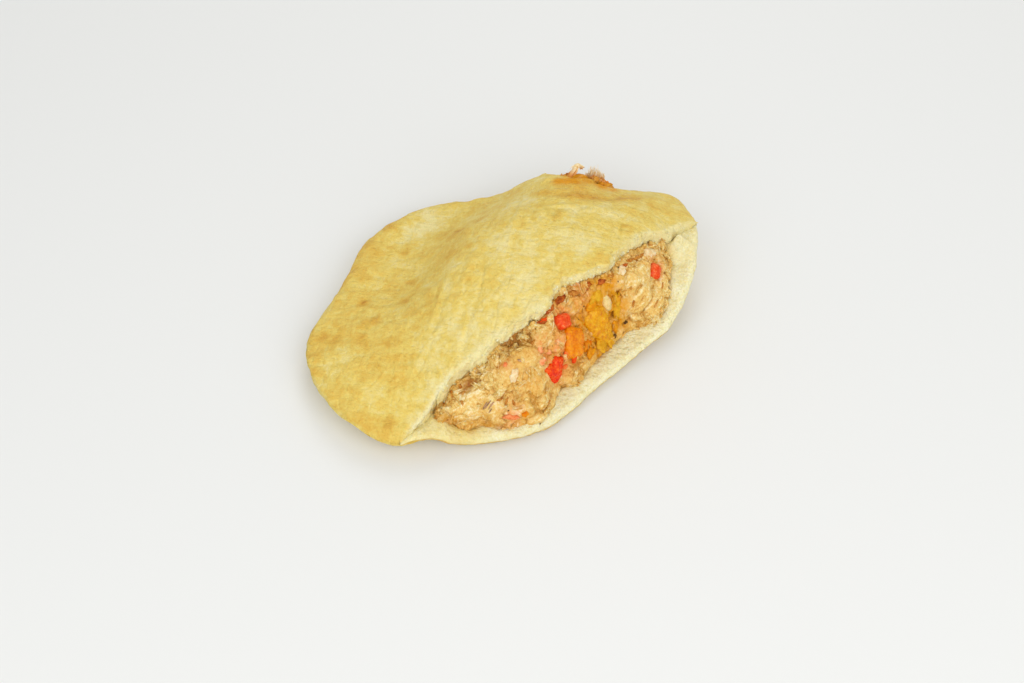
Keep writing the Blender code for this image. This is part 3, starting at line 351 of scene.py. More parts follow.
# Radii of the rounding of the upper face, the lower face, the pocket's floor and the pocket's end
TOP_ROUND = 5.0
UNDER_ROUND = 4.0
FLOOR_ROUND = 3.0
POCKET_ROUND = 6.0
# Places where the pocket is pressed shut at the mouth's corners: x, y, radius, soft border
SHUT = ((74, -35, 13, 7), (-72, -28, 10, 6))
# Angle of a torn tongue of the upper lip
TONGUE = 222.6
# Distance from the lips that stands for the middle of a face
FAR = 30.0
# Widths of the grids' columns at the mouth, right of it, at the tear, and round the back and left
BREAD_COLUMNS = (0.55, 1.2, 0.8, 1.4)
FISH_COLUMNS = (1.0, 5.0, 1.6, 9.0)
# Rings of the bread's faces: count, inset of the first one, crowding at the edge
TOP_RINGS = (64, 0.006, 1.12)
UNDER_RINGS = (14, 0.012, 1.7)
FLOOR_RINGS = (40, 0.008, 1.35)
ROOF_RINGS = (8, 0.012, 1.8)
LIP_RINGS = 7
# Share of the way to the middle that the rings go, before a fan closes the rest
RING_REACH = 0.985
# Rings of the filling: shares of the radius below; above, the depth of the part in the mouth with
# even steps, the share of all rings' way that it takes, the rings of the rest, and the share of
# the way up to which the filling is seen
FISH_UNDER = (0.98, 0.93, 0.8, 0.6, 0.32)
FISH_DEPTH = 26
FISH_EVEN = 0.6
FISH_WIDER = (0.012, 0.024, 0.036, 0.05, 0.07, 0.1, 0.15, 0.25, 0.4, 0.6, 0.8)
FISH_SEEN = 0.68
# Angles and count of the flakes under the top lip
LIP_FLAKES = (207, 330, 62)
# How easily the upper face may miss the heights it is given
PLATE_EASE = 8.0
# Full turn for random draws
TURN = 6.28
# Seeds of the random draws for the bread's crumbs and the strands, and count of the crumbs
CRUMB_SEED = 23
CRUMB_COUNT = 240
STRAND_SEED = 17


def blend(a, b, share):
    """The first value at a share of zero, the second at one."""
    return a + (b - a) * share


def bump(t):
    """Zero at and below 0, one at and above 1, smooth between."""
    t = np.clip(t, 0, 1)
    return t * t * (3 - 2 * t)


def hill(x, y, at_x, at_y, spread):
    """One at a place, falling off round it; the spread is the square of its reach."""
    return np.exp(-((x - at_x) ** 2 + (y - at_y) ** 2) / spread)


def unit(v):
    """Vector or rows of vectors of length one."""
    return v / np.maximum(np.linalg.norm(v, axis=-1, keepdims=True), 1e-12)


def spline(stations, angles, column=1):
    """Smooth closed curve through stations of angle and value."""
    rows = sorted((s[0] % 360, s[column]) for s in stations)
    xs = np.array([r[0] for r in rows])
    ys = np.array([r[1] for r in rows])
    xs = np.concatenate((xs[-3:] - 360, xs, xs[:3] + 360))
    ys = np.concatenate((ys[-3:], ys, ys[:3]))
    step = np.diff(xs)
    slope = np.diff(ys) / step
    both = slope[:-1] * slope[1:] > 0
    w1 = 2 * step[1:] + step[:-1]
    w2 = step[1:] + 2 * step[:-1]
    first = np.where(both, slope[:-1], 1.0)
    second = np.where(both, slope[1:], 1.0)
    inner = np.where(both, (w1 + w2) / (w1 / first + w2 / second), 0.0)
    tangent = np.concatenate(([slope[0]], inner, [slope[-1]]))
    x = np.mod(np.asarray(angles, float), 360)
    i = np.clip(np.searchsorted(xs, x, side="right") - 1, 0, len(step) - 1)
    t = (x - xs[i]) / step[i]
    a = ys[i] * (1 + 2 * t) * (1 - t) ** 2 + ys[i + 1] * t * t * (3 - 2 * t)
    return a + step[i] * (tangent[i] * t * (1 - t) ** 2 - tangent[i + 1] * t * t * (1 - t))


def lattice(i, j, k, seed):
    """Repeatable value from -1 to 1 for each whole-number point of space."""
    n = (i * 73856093) ^ (j * 19349663) ^ (k * 83492791) ^ (seed * 2654435761)
    n = n & 0xFFFFFFFF
    for _ in range(2):
        n = ((n ^ (n >> 16)) * 0x45D9F3B) & 0xFFFFFFFF
    return ((n ^ (n >> 16)) & 0xFFFF) / 32767.5 - 1


def value_noise(x, y, z, seed):
    """Smooth noise between -1 and 1 with features of size one."""
    x, y, z = np.broadcast_arrays(np.asarray(x, float), y, z)
    i, j, k = (np.floor(v).astype(np.int64) for v in (x, y, z))
    u, v, w = (bump(a - b) for a, b in ((x, i), (y, j), (z, k)))
    total = 0
    for a, fa in ((0, 1 - u), (1, u)):
        for b, fb in ((0, 1 - v), (1, v)):
            for c, fc in ((0, 1 - w), (1, w)):
                total = total + fa * fb * fc * lattice(i + a, j + b, k + c, seed)
    return total


def noise(p, size, seed):
    """Noise at points with features of a size in millimetres."""
    return value_noise(p[..., 0] / size, p[..., 1] / size, p[..., 2] / size, seed)


def plan_noise(x, y, size, seed):
    """Noise that is the same at all heights."""
    return value_noise(x / size, y / size, 0, seed)


def thin_plate(points):
    """Weights of the smoothest surface through the given heights."""
    p = np.array(points, float)
    d = np.hypot(p[:, None, 0] - p[None, :, 0], p[:, None, 1] - p[None, :, 1])
    n = len(p)
    a = np.zeros((n + 3, n + 3))
    a[:n, :n] = np.where(d > 0, d * d * np.log(d + 1e-12), 0) + PLATE_EASE * np.eye(n)
    a[:n, n] = a[n, :n] = 1
    for k in (0, 1):
        a[:n, n + 1 + k] = a[n + 1 + k, :n] = p[:, k]
    return p, np.linalg.solve(a, np.concatenate((p[:, 2], np.zeros(3))))


TOP_PLATE = thin_plate(TOP)


def top_height(x, y):
    """Height of the upper face without its rounded edge."""
    p, w = TOP_PLATE
    z = w[-3] + w[-2] * x + w[-1] * y
    for (px, py, _), weight in zip(p, w):
        d2 = (x - px) ** 2 + (y - py) ** 2 + 1e-9
        z = z + weight * 0.5 * d2 * np.log(d2)
    return z


def stretch(height, x, y):
    """Length of a step along a face for a level step of one."""
    e = 0.5
    gx = (height(x + e, y) - height(x - e, y)) / (2 * e)
    gy = (height(x, y + e) - height(x, y - e)) / (2 * e)
    return np.minimum(np.sqrt(1 + gx * gx + gy * gy), 1.6)


def curve(angles, radii):
    """Points in plan."""
    a = np.radians(angles)
    return np.stack((radii * np.cos(a), radii * np.sin(a)), -1)


def arc(start, end, table, step=1.5):
    """Corners of a line that follows a table between two angles."""
    angles = np.linspace(start, end, max(3, int(abs(end - start) / step)))
    return curve(angles, spline(table, angles))


def closed_arcs(table):
    """Lines along a table between the mouth and the tear, on either side."""
    return arc(MOUTH[1], TEAR[0] + 360, table), arc(TEAR[1], MOUTH[0], table)


EDGE_LINE = arc(0, 360, RIM)
CLOSED_EDGE = closed_arcs(RIM)
CLOSED_POCKET = closed_arcs(POCKET_END)


def away(x, y, *lines):
    """Distance in plan from points to the nearest of some lines of corners."""
    best = np.full(np.shape(x), 1e9)
    for line in lines:
        for a, b in zip(line[:-1], line[1:]):
            ab = b - a
            t = ((x - a[0]) * ab[0] + (y - a[1]) * ab[1]) / max(ab @ ab, 1e-9)
            t = np.clip(t, 0, 1)
            best = np.minimum(best, np.hypot(x - a[0] - t * ab[0], y - a[1] - t * ab[1]))
    return best


def rounding(distance, radius):
    """Rise of a quarter circle, from zero at the edge to one at the radius."""
    t = np.clip(distance / radius, 0, 1)
    return np.sqrt(np.maximum(1 - (1 - t) ** 2, 0))


def angle_of(x, y):
    """Angle in plan, from 0 to 360."""
    return np.degrees(np.arctan2(y, x)) % 360


def polar(p):
    """Angle and radius of points in plan."""
    return angle_of(p[:, 0], p[:, 1]), np.hypot(p[:, 0], p[:, 1])


def in_sector(angle, sector, soft):
    """One well inside the sector, zero outside, over a soft border."""
    a = np.mod(angle, 360)
    return bump((a - sector[0]) / soft) * bump((sector[1] - a) / soft)


def tear_lip(a):
    """Radius of the top layer's edge over the tear at the back."""
    turned = np.mod(a, 360)
    open_part = bump((turned - TEAR[0]) / 9) * bump((TEAR[1] - turned) / 11)
    return spline(RIM, a) - 0.35 - 7.3 * open_part


def bottom_height(x, y):
    """Height of the lower face without its rounded edge."""
    a = angle_of(x, y)
    half = blend(EDGE_HALF, LIP_HALF, in_sector(a, MOUTH, 9)) + 1.6 * in_sector(a, TEAR, 6)
    edge = np.maximum(spline(RIM, a, 2) - half, 0)
    reach = np.hypot(x, y) / spline(RIM, a)
    return edge * np.clip((reach - 0.5) / 0.5, 0, 1.3) ** 1.7


def layer(x, y):
    """Thickness of one bread layer, thinner round the tear."""
    return LAYER - 1.9 * hill(x, y, 52.5, 16.0, 160)


def rounded(x, y, height, distance, radius):
    """Height of a face, brought to the middle of the bread's edge within a radius of it."""
    return blend(spline(RIM, angle_of(x, y), 2), height, rounding(distance, radius))


def crust_relief(x, y):
    """Broad waves of the fried skin above its smooth form."""
    along = 0.64 * x + 0.77 * y
    across = 0.77 * x - 0.64 * y
    return 0.45 * plan_noise(x, y, 15, 3) + 0.3 * value_noise(along / 16, across / 6, 0, 5)


def outer_top(x, y):
    """Height of the crust above."""
    z = rounded(x, y, top_height(x, y), away(x, y, *CLOSED_EDGE), TOP_ROUND)
    return z + crust_relief(x, y)


def outer_bottom(x, y):
    """Height of the crust below."""
    return rounded(x, y, bottom_height(x, y), away(x, y, EDGE_LINE), UNDER_ROUND)


def inner_bottom(x, y):
    """Height of the pocket's floor."""
    z = bottom_height(x, y) + layer(x, y) * stretch(bottom_height, x, y)
    d = away(x, y, EDGE_LINE)
    return np.where(d < FLOOR_ROUND, rounded(x, y, z, d, FLOOR_ROUND), z)


def inner_top(x, y):
    """Height of the pocket's roof, pressed shut at the mouth's corners."""
    low = inner_bottom(x, y)
    high = top_height(x, y) - layer(x, y) * stretch(top_height, x, y)
    z = low + np.maximum(high - low, 1.0) * rounding(away(x, y, *CLOSED_POCKET), POCKET_ROUND)
    shut = np.maximum(*(bump((r - np.hypot(x - cx, y - cy)) / soft) for cx, cy, r, soft in SHUT))
    return blend(z, low + 0.3, shut)


def columns(step, widths):
    """Angles of a grid's columns, each sector with its own width of column."""
    parts = []
    sectors = (
        (MOUTH[0], MOUTH[1], TOP_LIP),
        (MOUTH[1], TEAR[0] + 360, RIM),
        (TEAR[0] + 360, TEAR[1] + 360, RIM),
        (TEAR[1] + 360, MOUTH[0] + 360, RIM),
    )
    for (start, end, line), wide in zip(sectors, widths):
        a = np.linspace(start, end, 600)
        lengths = [np.hypot(*np.diff(curve(a, spline(t, a)), axis=0).T) for t in (line, RIM)]
        run = np.concatenate(([0], np.cumsum(np.maximum(*lengths))))
        count = max(4, int(round(run[-1] / (step * wide))))
        parts.append(np.interp(np.linspace(0, run[-1], count + 1)[:-1], run, a))
    return np.concatenate(parts)


class Skin:
    """Points and faces of one closed skin, gathered ring by ring, with marks on each point."""

    def __init__(self, names):
        self.rings = []
        self.count = 0
        self.marks = {name: [] for name in names}
        self.faces = []

    def ring(self, x, y, z, **marks):
        """Adds a ring of points and gives their numbers."""
        first = self.count
        points = np.stack(np.broadcast_arrays(x, y, z), -1)
        self.rings.append(points)
        for name, values in self.marks.items():
            values.append(np.broadcast_to(marks.get(name, 0.0), len(points)).astype(float))
        self.count += len(points)
        return np.arange(first, self.count)

    def strip(self, a, b, keep=None):
        """Faces between two rings, less the corners that the rings share."""
        a2, b2 = np.roll(a, -1), np.roll(b, -1)
        for i in range(len(a)):
            if keep is not None and not keep[i]:
                continue
            corners = [a[i], a2[i], b2[i], b[i]]
            corners = [int(c) for k, c in enumerate(corners) if c != corners[k - 1]]
            if len(corners) > 2:
                self.faces.append(corners)

    def grow(self, previous, x, y, z, **marks):
        """Next ring, with the faces between it and the one before."""
        now = self.ring(x, y, z, **marks)
        self.strip(previous, now)
        return now

    def fan(self, ring, height, **marks):
        """Faces between a ring and one point in the middle of the part."""
        zero = np.zeros(1)
        tip = int(self.ring(zero, zero, height(zero, zero), **marks)[0])
        for a, b in zip(ring, np.roll(ring, -1)):
            self.faces.append([int(a), int(b), tip])

    def points(self):
        """All points, in the order of their numbers."""
        return np.concatenate(self.rings)

    def all_marks(self):
        """Marks of all points, each by its name."""
        return SimpleNamespace(**{name: np.concatenate(v) for name, v in self.marks.items()})


def normals_of(points, faces):
    """Area-weighted outward normals of the points of a mesh."""
    quads = np.array([f if len(f) == 4 else f + [f[2]] for f in faces])
    p = points[quads]
    n = np.cross(p[:, 2] - p[:, 0], p[:, 3] - p[:, 1])
    short = quads[:, 3] == quads[:, 2]
    n[short] = np.cross(p[short, 1] - p[short, 0], p[short, 2] - p[short, 0])
    total = np.zeros_like(points)
    for k in range(4):
        np.add.at(total, quads[:, k], n)
    normals = unit(total)
    return normals if normals[np.argmax(points[:, 2]), 2] > 0 else -normals


def axes(out, aside=(1.0, 0.0, 0.0)):
    """Two directions along a face, from the direction out of it."""
    across = unit(np.cross(out, aside))
    return np.cross(across, out), across


def turned_axes(along, across, turn):
    """Two directions, turned in their plane."""
    c, s = math.cos(turn), math.sin(turn)
    return along * c + across * s, across * c - along * s


def linear(colour):
    """Scene colour for a colour as a screen shows it."""
    parts = (c / 12.92 if c <= 0.04045 else ((c + 0.055) / 1.055) ** 2.4 for c in colour)
    return (*parts, 1.0)


def shade(r, g, b):
    """Scene colour for screen values from 0 to 255."""
    return linear((r / 255, g / 255, b / 255))


def make_object(name, points, faces, material, replaced=(), marks=None):
    """Mesh object in metres, kept inside the solids' box, riding on the body."""
    mesh = bpy.data.meshes.new(name)
    placed = (np.asarray(points, float) - MIDDLE) * MM
    placed = np.clip(placed, np.array(CAD_LOW) + 1e-6, np.array(CAD_HIGH) - 1e-6)
    mesh.from_pydata(placed.tolist(), [], faces)
    for key, values in (marks or {}).items():
        attribute = mesh.attributes.new(key, "FLOAT", "POINT")
        attribute.data.foreach_set("value", np.asarray(values, np.float32))
    b = bmesh.new()
    b.from_mesh(mesh)
    bmesh.ops.delete(b, geom=[v for v in b.verts if not v.link_faces], context="VERTS")
    bmesh.ops.recalc_face_normals(b, faces=b.faces)
    b.to_mesh(mesh)
    b.free()
    mesh.shade_smooth()
    mesh.materials.append(material)
    made = bpy.data.objects.new(name, mesh)
    bpy.context.scene.collection.objects.link(made)
    if replaced:
        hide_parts(*replaced)
    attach(made, "root")


class Paint:
    """Nodes of one material, with its principled shader."""

    def __init__(self, name, **constants):
        self.material = bpy.data.materials.new(name)
        self.material.use_nodes = True
        self.tree = self.material.node_tree
        self.shader = self.tree.nodes["Principled BSDF"]
        self.place = self.add("ShaderNodeTexCoord").outputs["Object"]
        for key, value in constants.items():
            self.shader.inputs[key.replace("_", " ")].default_value = value

    def add(self, kind, sockets=None, **settings):
        """Adds a node with its settings, its sockets fed by values or by other nodes."""
        node = self.tree.nodes.new(kind)
        for key, value in settings.items():
            setattr(node, key, value)
        for key, value in (sockets or {}).items():
            self.feed(node.inputs[key], value)
        return node

    def feed(self, socket, value):
        """Links a socket to another one, or sets its constant."""
        if isinstance(value, bpy.types.NodeSocket):
            self.tree.links.new(value, socket)
        else:
            socket.default_value = value

    def set(self, name, value):
        """Feeds a socket of the shader."""
        self.feed(self.shader.inputs[name], value)

    def noise(self, size, detail=2.0, rough=0.55, twist=0.0, turn=None, pull=1.0):
        """Noise from 0 to 1 with features of a size in millimetres, drawn out along an axis."""
        place = self.place
        if turn is not None:
            turned = (0.0, 0.0, math.radians(turn))
            sockets = {"Vector": place, "Rotation": turned, "Scale": (pull, 1.0, 1.0)}
            place = self.add("ShaderNodeMapping", sockets, vector_type="TEXTURE").outputs[0]
        sockets = {
            "Vector": place, "Scale": 1000.0 / size, "Detail": detail, "Roughness": rough,
            "Distortion": twist,
        }
        return self.add("ShaderNodeTexNoise", sockets).outputs["Fac"]

    def cells(self, size):
        """Distance to the nearest of scattered points."""
        sockets = {"Vector": self.place, "Scale": 1000.0 / size}
        return self.add("ShaderNodeTexVoronoi", sockets).outputs["Distance"]

    def mark(self, name):
        """Value that the mesh keeps on its points under a name."""
        return self.add("ShaderNodeAttribute", attribute_name=name).outputs["Fac"]

    def combine(self, operation, a, b):
        return self.add("ShaderNodeMath", {0: a, 1: b}, operation=operation).outputs[0]

    def times(self, a, b):
        return self.combine("MULTIPLY", a, b)

    def sum(self, *terms):
        """Sum of sockets and numbers, where a pair is a socket and its factor."""
        total = None
        for term in terms:
            if isinstance(term, tuple):
                term = self.times(*term)
            total = term if total is None else self.combine("ADD", total, term)
        return total

    def step(self, value, low, high):
        """Zero below low, one above high, smooth between."""
        sockets = {"Value": value, "From Min": low, "From Max": high}
        return self.add("ShaderNodeMapRange", sockets, interpolation_type="SMOOTHSTEP").outputs[0]

    def ramp(self, value, *stops):
        """Colours at places from 0 to 1 along a value."""
        node = self.add("ShaderNodeValToRGB", {"Fac": value})
        band = node.color_ramp
        while len(band.elements) < len(stops):
            band.elements.new(0.5)
        for element, (at, colour) in zip(band.elements, stops):
            element.position = at
            element.color = colour
        return node.outputs["Color"]

    def mix(self, factor, a, b):
        """The first colour at a factor of zero, the second at one."""
        sockets = {0: factor, 6: a, 7: b}
        return self.add("ShaderNodeMix", sockets, data_type="RGBA").outputs[2]

    def relief(self, height, depth):
        """Bump from a height of 0 to 1 that stands for a depth in millimetres."""
        sockets = {"Height": height, "Distance": depth * MM, "Strength": 1.0}
        self.set("Normal", self.add("ShaderNodeBump", sockets).outputs["Normal"])


def crust_paint(look):
    """Fried crust with golden patches, pale bands at the lips and crumb inside."""
    p = Paint(
        "fried_crust_and_crumb", Subsurface_Scale=0.0014, Subsurface_Weight=0.2,
        Subsurface_Radius=(1.0, 0.85, 0.5), Specular_IOR_Level=0.22)
    patches = p.step(p.noise(5.0, 3.0, 0.6, 0.5), 0.38, 0.62)
    ripples = p.noise(2.0, 3.0, 0.6, 0.2, turn=125.0, pull=3.2)
    freckles = p.noise(1.5, 4.0, 0.7)
    streaks = p.step(p.noise(2.2, 2.0, 0.5, 0.3, turn=38.0, pull=4.5), 0.36, 0.64)
    flecks = p.step(p.noise(1.1), 0.66, 0.74)
    tone = p.sum(
        p.mark("golden"), (patches, 0.15), (freckles, 0.44), (ripples, 0.34), (streaks, 0.05),
        (flecks, 0.1), -0.585)
    crust = p.ramp(
        tone, (0.08, linear(look.pale)), (0.36, linear(look.yellow)), (0.58, linear(look.golden)),
        (0.8, linear(look.amber)), (1.0, linear(look.brown)))
    stained = p.times(p.mark("stain"), p.step(p.noise(3.0, 3.0), 0.1, 0.45))
    crust = p.mix(stained, crust, linear(look.stain))
    crumb = p.ramp(
        p.sum((p.noise(3.2, 4.0, 0.65), 0.5), (p.noise(0.8, 3.0), 0.5)),
        (0.3, shade(238, 221, 154)), (0.46, linear(look.crumb)), (0.64, shade(252, 247, 212)))
    crumb = p.mix(p.mark("oiled"), crumb, shade(214, 170, 74))
    crumb = p.mix(p.mark("fringe"), crumb, shade(156, 96, 28))
    p.set("Base Color", p.mix(p.mark("crumb"), crust, crumb))
    p.set("Roughness", p.sum((p.mark("crumb"), 0.25), (p.noise(2.5), 0.25), 0.36))
    pores = p.times(p.mark("crumb"), p.step(p.cells(1.3), 0.0, 0.45))
    p.relief(p.sum(
        (freckles, 0.7), (ripples, 0.8), (streaks, 0.06), (p.noise(3.4), 0.5), (pores, 0.15)), 1.45)
    return p.material


def fish_paint(look):
    """Moist fish, painted darker as shade and oilier in its crevices, stained orange near the
    pepper.
    """
    p = Paint(
        "flaked_saltfish", Subsurface_Scale=0.0009, Subsurface_Weight=0.2,
        Subsurface_Radius=(1.0, 0.6, 0.3), Specular_IOR_Level=0.2, Coat_Weight=0.06,
        Coat_Roughness=0.14)
    coarse = p.step(p.noise(2.6, 3.0, 0.6), 0.34, 0.66)
    fine = p.step(p.noise(0.8, 4.0, 0.7), 0.36, 0.64)
    smooth = p.mark("smooth")
    busy = p.sum((smooth, -0.25), 1.0)
    tone = p.sum(
        (p.mark("tint"), 0.34), (coarse, 0.2), (p.times(fine, busy), 0.44), (smooth, 0.06),
        (p.mark("grain"), 0.2), -0.03)
    flesh = p.ramp(
        tone, (0.1, linear(look.tan)), (0.35, linear(look.peach)), (0.58, linear(look.flesh)),
        (0.88, linear(look.cream)))
    blotch = p.step(p.noise(2.0, 3.0, 0.6), 0.36, 0.6)
    stained = p.times(p.mark("stain"), p.sum((blotch, 0.35), 0.78))
    flesh = p.mix(stained, flesh, linear(look.stained))
    flushed = p.times(p.mark("flush"), p.sum((blotch, 0.7), 0.3))
    flesh = p.mix(flushed, flesh, linear(look.flushed))
    # Painted shade: the hollows between the flakes are darkened towards the crevice colour, and
    # noise adds patches of the same brown as oil
    deep = p.step(p.sum(p.mark("deep"), (p.noise(1.4, 3.0), 0.8), -0.35), 0.2, 0.75)
    flesh = p.mix(p.times(deep, 0.68), flesh, linear(look.crevice_shade_and_oil))
    # Painted shade and fried brown: under the top lip and in the pits this brown stands for shade,
    # along the left edge and on the tear flakes it is fried fish
    brown_and_shade = p.ramp(p.noise(1.3, 3.0, 0.7), (0.36, linear(look.burnt)), (0.62, linear(look.tan)))
    p.set("Base Color", p.mix(p.mark("burnt"), flesh, brown_and_shade))
    p.set("Roughness", p.sum((p.noise(1.8, 3.0), 0.4), 0.2))
    lumpy = p.sum((p.noise(0.55, 3.0, 0.65), 0.5), (p.noise(1.4, 3.0, 0.6), 0.6))
    p.relief(p.sum(p.times(lumpy, busy), (p.mark("grain"), 0.25)), 0.5)
    return p.material


def pepper_paint(name, bright, dark, pale):
    """Soft cooked pepper: moist, partly see-through, with paler flesh at worn places."""
    p = Paint(
        name + "_pepper_flesh", Subsurface_Scale=0.0012, Subsurface_Weight=0.2,
        Subsurface_Radius=(1.0, 0.35, 0.1), Specular_IOR_Level=0.15, Coat_Weight=0.05,
        Coat_Roughness=0.08)
    tone = p.sum((p.noise(2.2, 3.0, 0.6), 0.6), (p.noise(0.7), 0.4))
    p.set("Base Color", p.ramp(
        tone, (0.36, shade(*dark)), (0.5, shade(*bright)), (0.64, shade(*pale))))
    p.set("Roughness", p.sum((p.noise(1.2), 0.3), 0.12))
    p.relief(p.sum((p.noise(1.1, 3.0), 0.8), (p.noise(0.4), 0.15)), 0.25)
    return p.material


def bit_paint(name, dark, light):
    """Small bit of skin, seed or herb."""
    p = Paint(name, Subsurface_Scale=0.001, Subsurface_Weight=0.15, Specular_IOR_Level=0.1)
    tone = p.noise(1.3, 4.0, 0.7)
    p.set("Base Color", p.ramp(tone, (0.38, shade(*dark)), (0.6, shade(*light))))
    p.set("Roughness", p.sum((p.noise(0.6), 0.3), 0.2))
    p.relief(p.noise(0.5, 3.0), 0.1)
    return p.material


def strand_paint():
    """Pale shreds of fish, oily at their roots."""
    p = Paint(
        "torn_strands", Subsurface_Scale=0.001, Subsurface_Weight=0.1,
        Subsurface_Radius=(1.0, 0.8, 0.5), Roughness=0.45, Specular_IOR_Level=0.2)
    tone = p.noise(1.4, 3.0, 0.6)
    pale = p.ramp(tone, (0.36, shade(238, 204, 138)), (0.62, shade(254, 240, 204)))
    p.set("Base Color", p.mix(p.mark("oiled"), pale, shade(224, 142, 34)))
    p.relief(p.noise(0.5, 3.0), 0.1)
    return p.material


def crust_detail(p):
    """Finer relief, moved along the normal: folds, dimples and small blisters."""
    x, y = p[:, 0], p[:, 1]
    along = 0.812 * x + 0.584 * y
    across = -0.584 * x + 0.812 * y
    warp = 1.6 * plan_noise(x, y, 8, 21)
    folds = value_noise(along / 15, (across + warp) / 3.6, 0, 22)
    h = -0.3 * np.exp(-(folds / 0.18) ** 2) * bump(0.5 + 1.2 * plan_noise(x, y, 13, 23))
    ridges = value_noise((across - warp) / 7, (along + warp) / 2.6, 1, 24)
    h = h + (0.12 + 0.2 * bump((8 - along) / 30)) * ridges
    for depth, size, seed in ((0.16, 4.5, 25), (0.15, 2.6, 26), (0.08, 1.6, 27)):
        h = h + depth * noise(p, size, seed)
    h = h + 0.3 * bump((plan_noise(x, y, 5.5, 28) - 0.35) / 0.3)
    for fx, fy, half_long, half_wide, turn, height in FOLDS:
        c, s = math.cos(math.radians(turn)), math.sin(math.radians(turn))
        u = ((x - fx) * c + (y - fy) * s) / half_long
        v = ((y - fy) * c - (x - fx) * s + 0.05 * half_long * np.sin(2 * u)) / half_wide
        h = h + height * np.exp(-u * u - v * v)
    return h


def fine_rings(count, first, power):
    """Shares of a radius from near one to near zero, closer together at the edge."""
    t = np.linspace(0, 1, count + 1)[1:]
    return 1 - (first + (RING_REACH - first) * t ** power)


def bread_skin(step):
    """Closed skin of the bread, with marks that say what each point is."""
    s = Skin(("crumb", "lip", "split", "upper", "under"))
    a = columns(step, BREAD_COLUMNS)
    mouth = (a > MOUTH[0] + 1e-6) & (a < MOUTH[1] - 1e-6)
    tear = (a > TEAR[0] + 360 + 1e-6) & (a < TEAR[1] + 360 - 1e-6)
    split = mouth | tear
    edge, lip, ends = (spline(table, a) for table in (RIM, TOP_LIP, POCKET_END))
    middle = spline(RIM, a, 2)
    turned = a % 360
    openness = np.maximum(
        in_sector(a, (MOUTH[0] - 1, MOUTH[1] + 1), 4), 0.7 * in_sector(a, TEAR, 4))
    # How far the tear gapes, and where the layers run together at its ends and the mouth's left
    gape = np.where(tear, 0.1 + 0.9 * in_sector(a, TEAR, 5), 1.0)
    open_tear = bump((TEAR[1] - turned) / 8) * bump((turned - TEAR[0]) / 3.5)
    pinch = np.where(tear, 1 - open_tear, 0.0)
    corner = np.where(mouth, 1 - bump((turned - MOUTH[0]) / 7), 0.0)

    def meet(z, depth, floor, seat, reach):
        """Height of the upper layer, led down onto the lower one where they run together."""
        z = blend(z, floor, pinch * (1 - rounding(depth, reach)))
        return blend(z, seat, corner * (1 - rounding(depth, reach + 2)))

    # Rims of the outer skin: one ring where the bread is closed, two where it is split
    low_r = np.where(split, edge - 0.7 * gape, edge)
    high_r = np.where(mouth, lip - 0.5, np.where(tear, tear_lip(a) - 0.3, edge))
    x, y = curve(a, low_r).T
    low_z = np.where(split, outer_bottom(x, y), middle)
    low = s.ring(x, y, low_z, split=openness)
    x, y = curve(a, high_r).T
    seat = inner_bottom(x, y) + 0.5
    outer_ends = (low_z + 0.4, seat, TOP_ROUND)
    high_z = np.where(split, meet(outer_top(x, y), 0.0, *outer_ends), middle)
    high = np.where(split, s.ring(x, y, high_z, split=openness, upper=1.0), low)

    # Rims of the pocket, in the same way
    in_low_r = np.where(split, edge - 1.3 * gape, ends)
    in_high_r = np.where(mouth, lip, np.where(tear, tear_lip(a), ends))
    x, y = curve(a, in_low_r).T
    in_low_z = inner_bottom(x, y)
    in_low = s.ring(x, y, in_low_z, crumb=1.0, split=openness)
    x, y = curve(a, in_high_r).T
    inner_ends = (in_low_z + 0.1, seat - 0.9, POCKET_ROUND)
    in_high_z = meet(inner_top(x, y), 0.0, *inner_ends)
    in_high = s.ring(x, y, in_high_z, crumb=1.0, split=openness, upper=1.0)
    in_high = np.where(split, in_high, in_low)

    # Outer skin below and above, then the pocket's skin below and above
    for previous, radius, rings, height, meeting, crumb, upper in (
        (low, low_r, UNDER_RINGS, outer_bottom, None, 0.0, 0.0),
        (high, high_r, TOP_RINGS, outer_top, outer_ends, 0.0, 1.0),
        (in_low, in_low_r, FLOOR_RINGS, inner_bottom, None, 1.0, 0.0),
        (in_high, in_high_r, ROOF_RINGS, inner_top, inner_ends, 1.0, 1.0),
    ):
        for f in fine_rings(*rings):
            x, y = curve(a, radius * f).T
            depth = radius * (1 - f)
            z = meet(height(x, y), depth, *meeting) if meeting else height(x, y)
            previous = s.grow(
                previous, x, y, z, crumb=crumb, lip=depth, split=openness, upper=upper)
        s.fan(previous, height, crumb=crumb, lip=FAR, upper=upper)

    # Lips: bands between the outer skin and the pocket skin where the bread is split
    split_end = ~split & (np.roll(split, 1) | np.roll(split, -1))
    p = s.points()
    out = curve(a, np.ones_like(a))
    lows, highs = [low], [high]
    for t in np.arange(1, LIP_RINGS + 1) / (LIP_RINGS + 1):
        swell = 0.75 * math.sin(math.pi * t)
        for rings, start, end, upper in ((lows, low, in_low, 0.0), (highs, high, in_high, 1.0)):
            q = p[start] * (1 - t) + p[end] * t
            q[:, :2] += out * (swell * split * gape)[:, None]
            crumb = bump((t - 0.22 + 0.28 * upper) / 0.33)
            made = s.ring(*q.T, crumb=crumb, split=openness, upper=upper, under=t)
            rings.append(np.where(split_end, lows[-1], made) if rings is highs else made)
    lows.append(in_low)
    highs.append(in_high)
    band = split | split_end
    keep = band & np.roll(band, -1) & (split | np.roll(split, -1))
    for rings in (lows, highs):
        for first, second in zip(rings[:-1], rings[1:]):
            s.strip(first, second, keep)
    return s


def face_part(a):
    """One where the filling shows in the mouth, zero where bread closes over it."""
    return in_sector(a, MOUTH_FACE, 4)


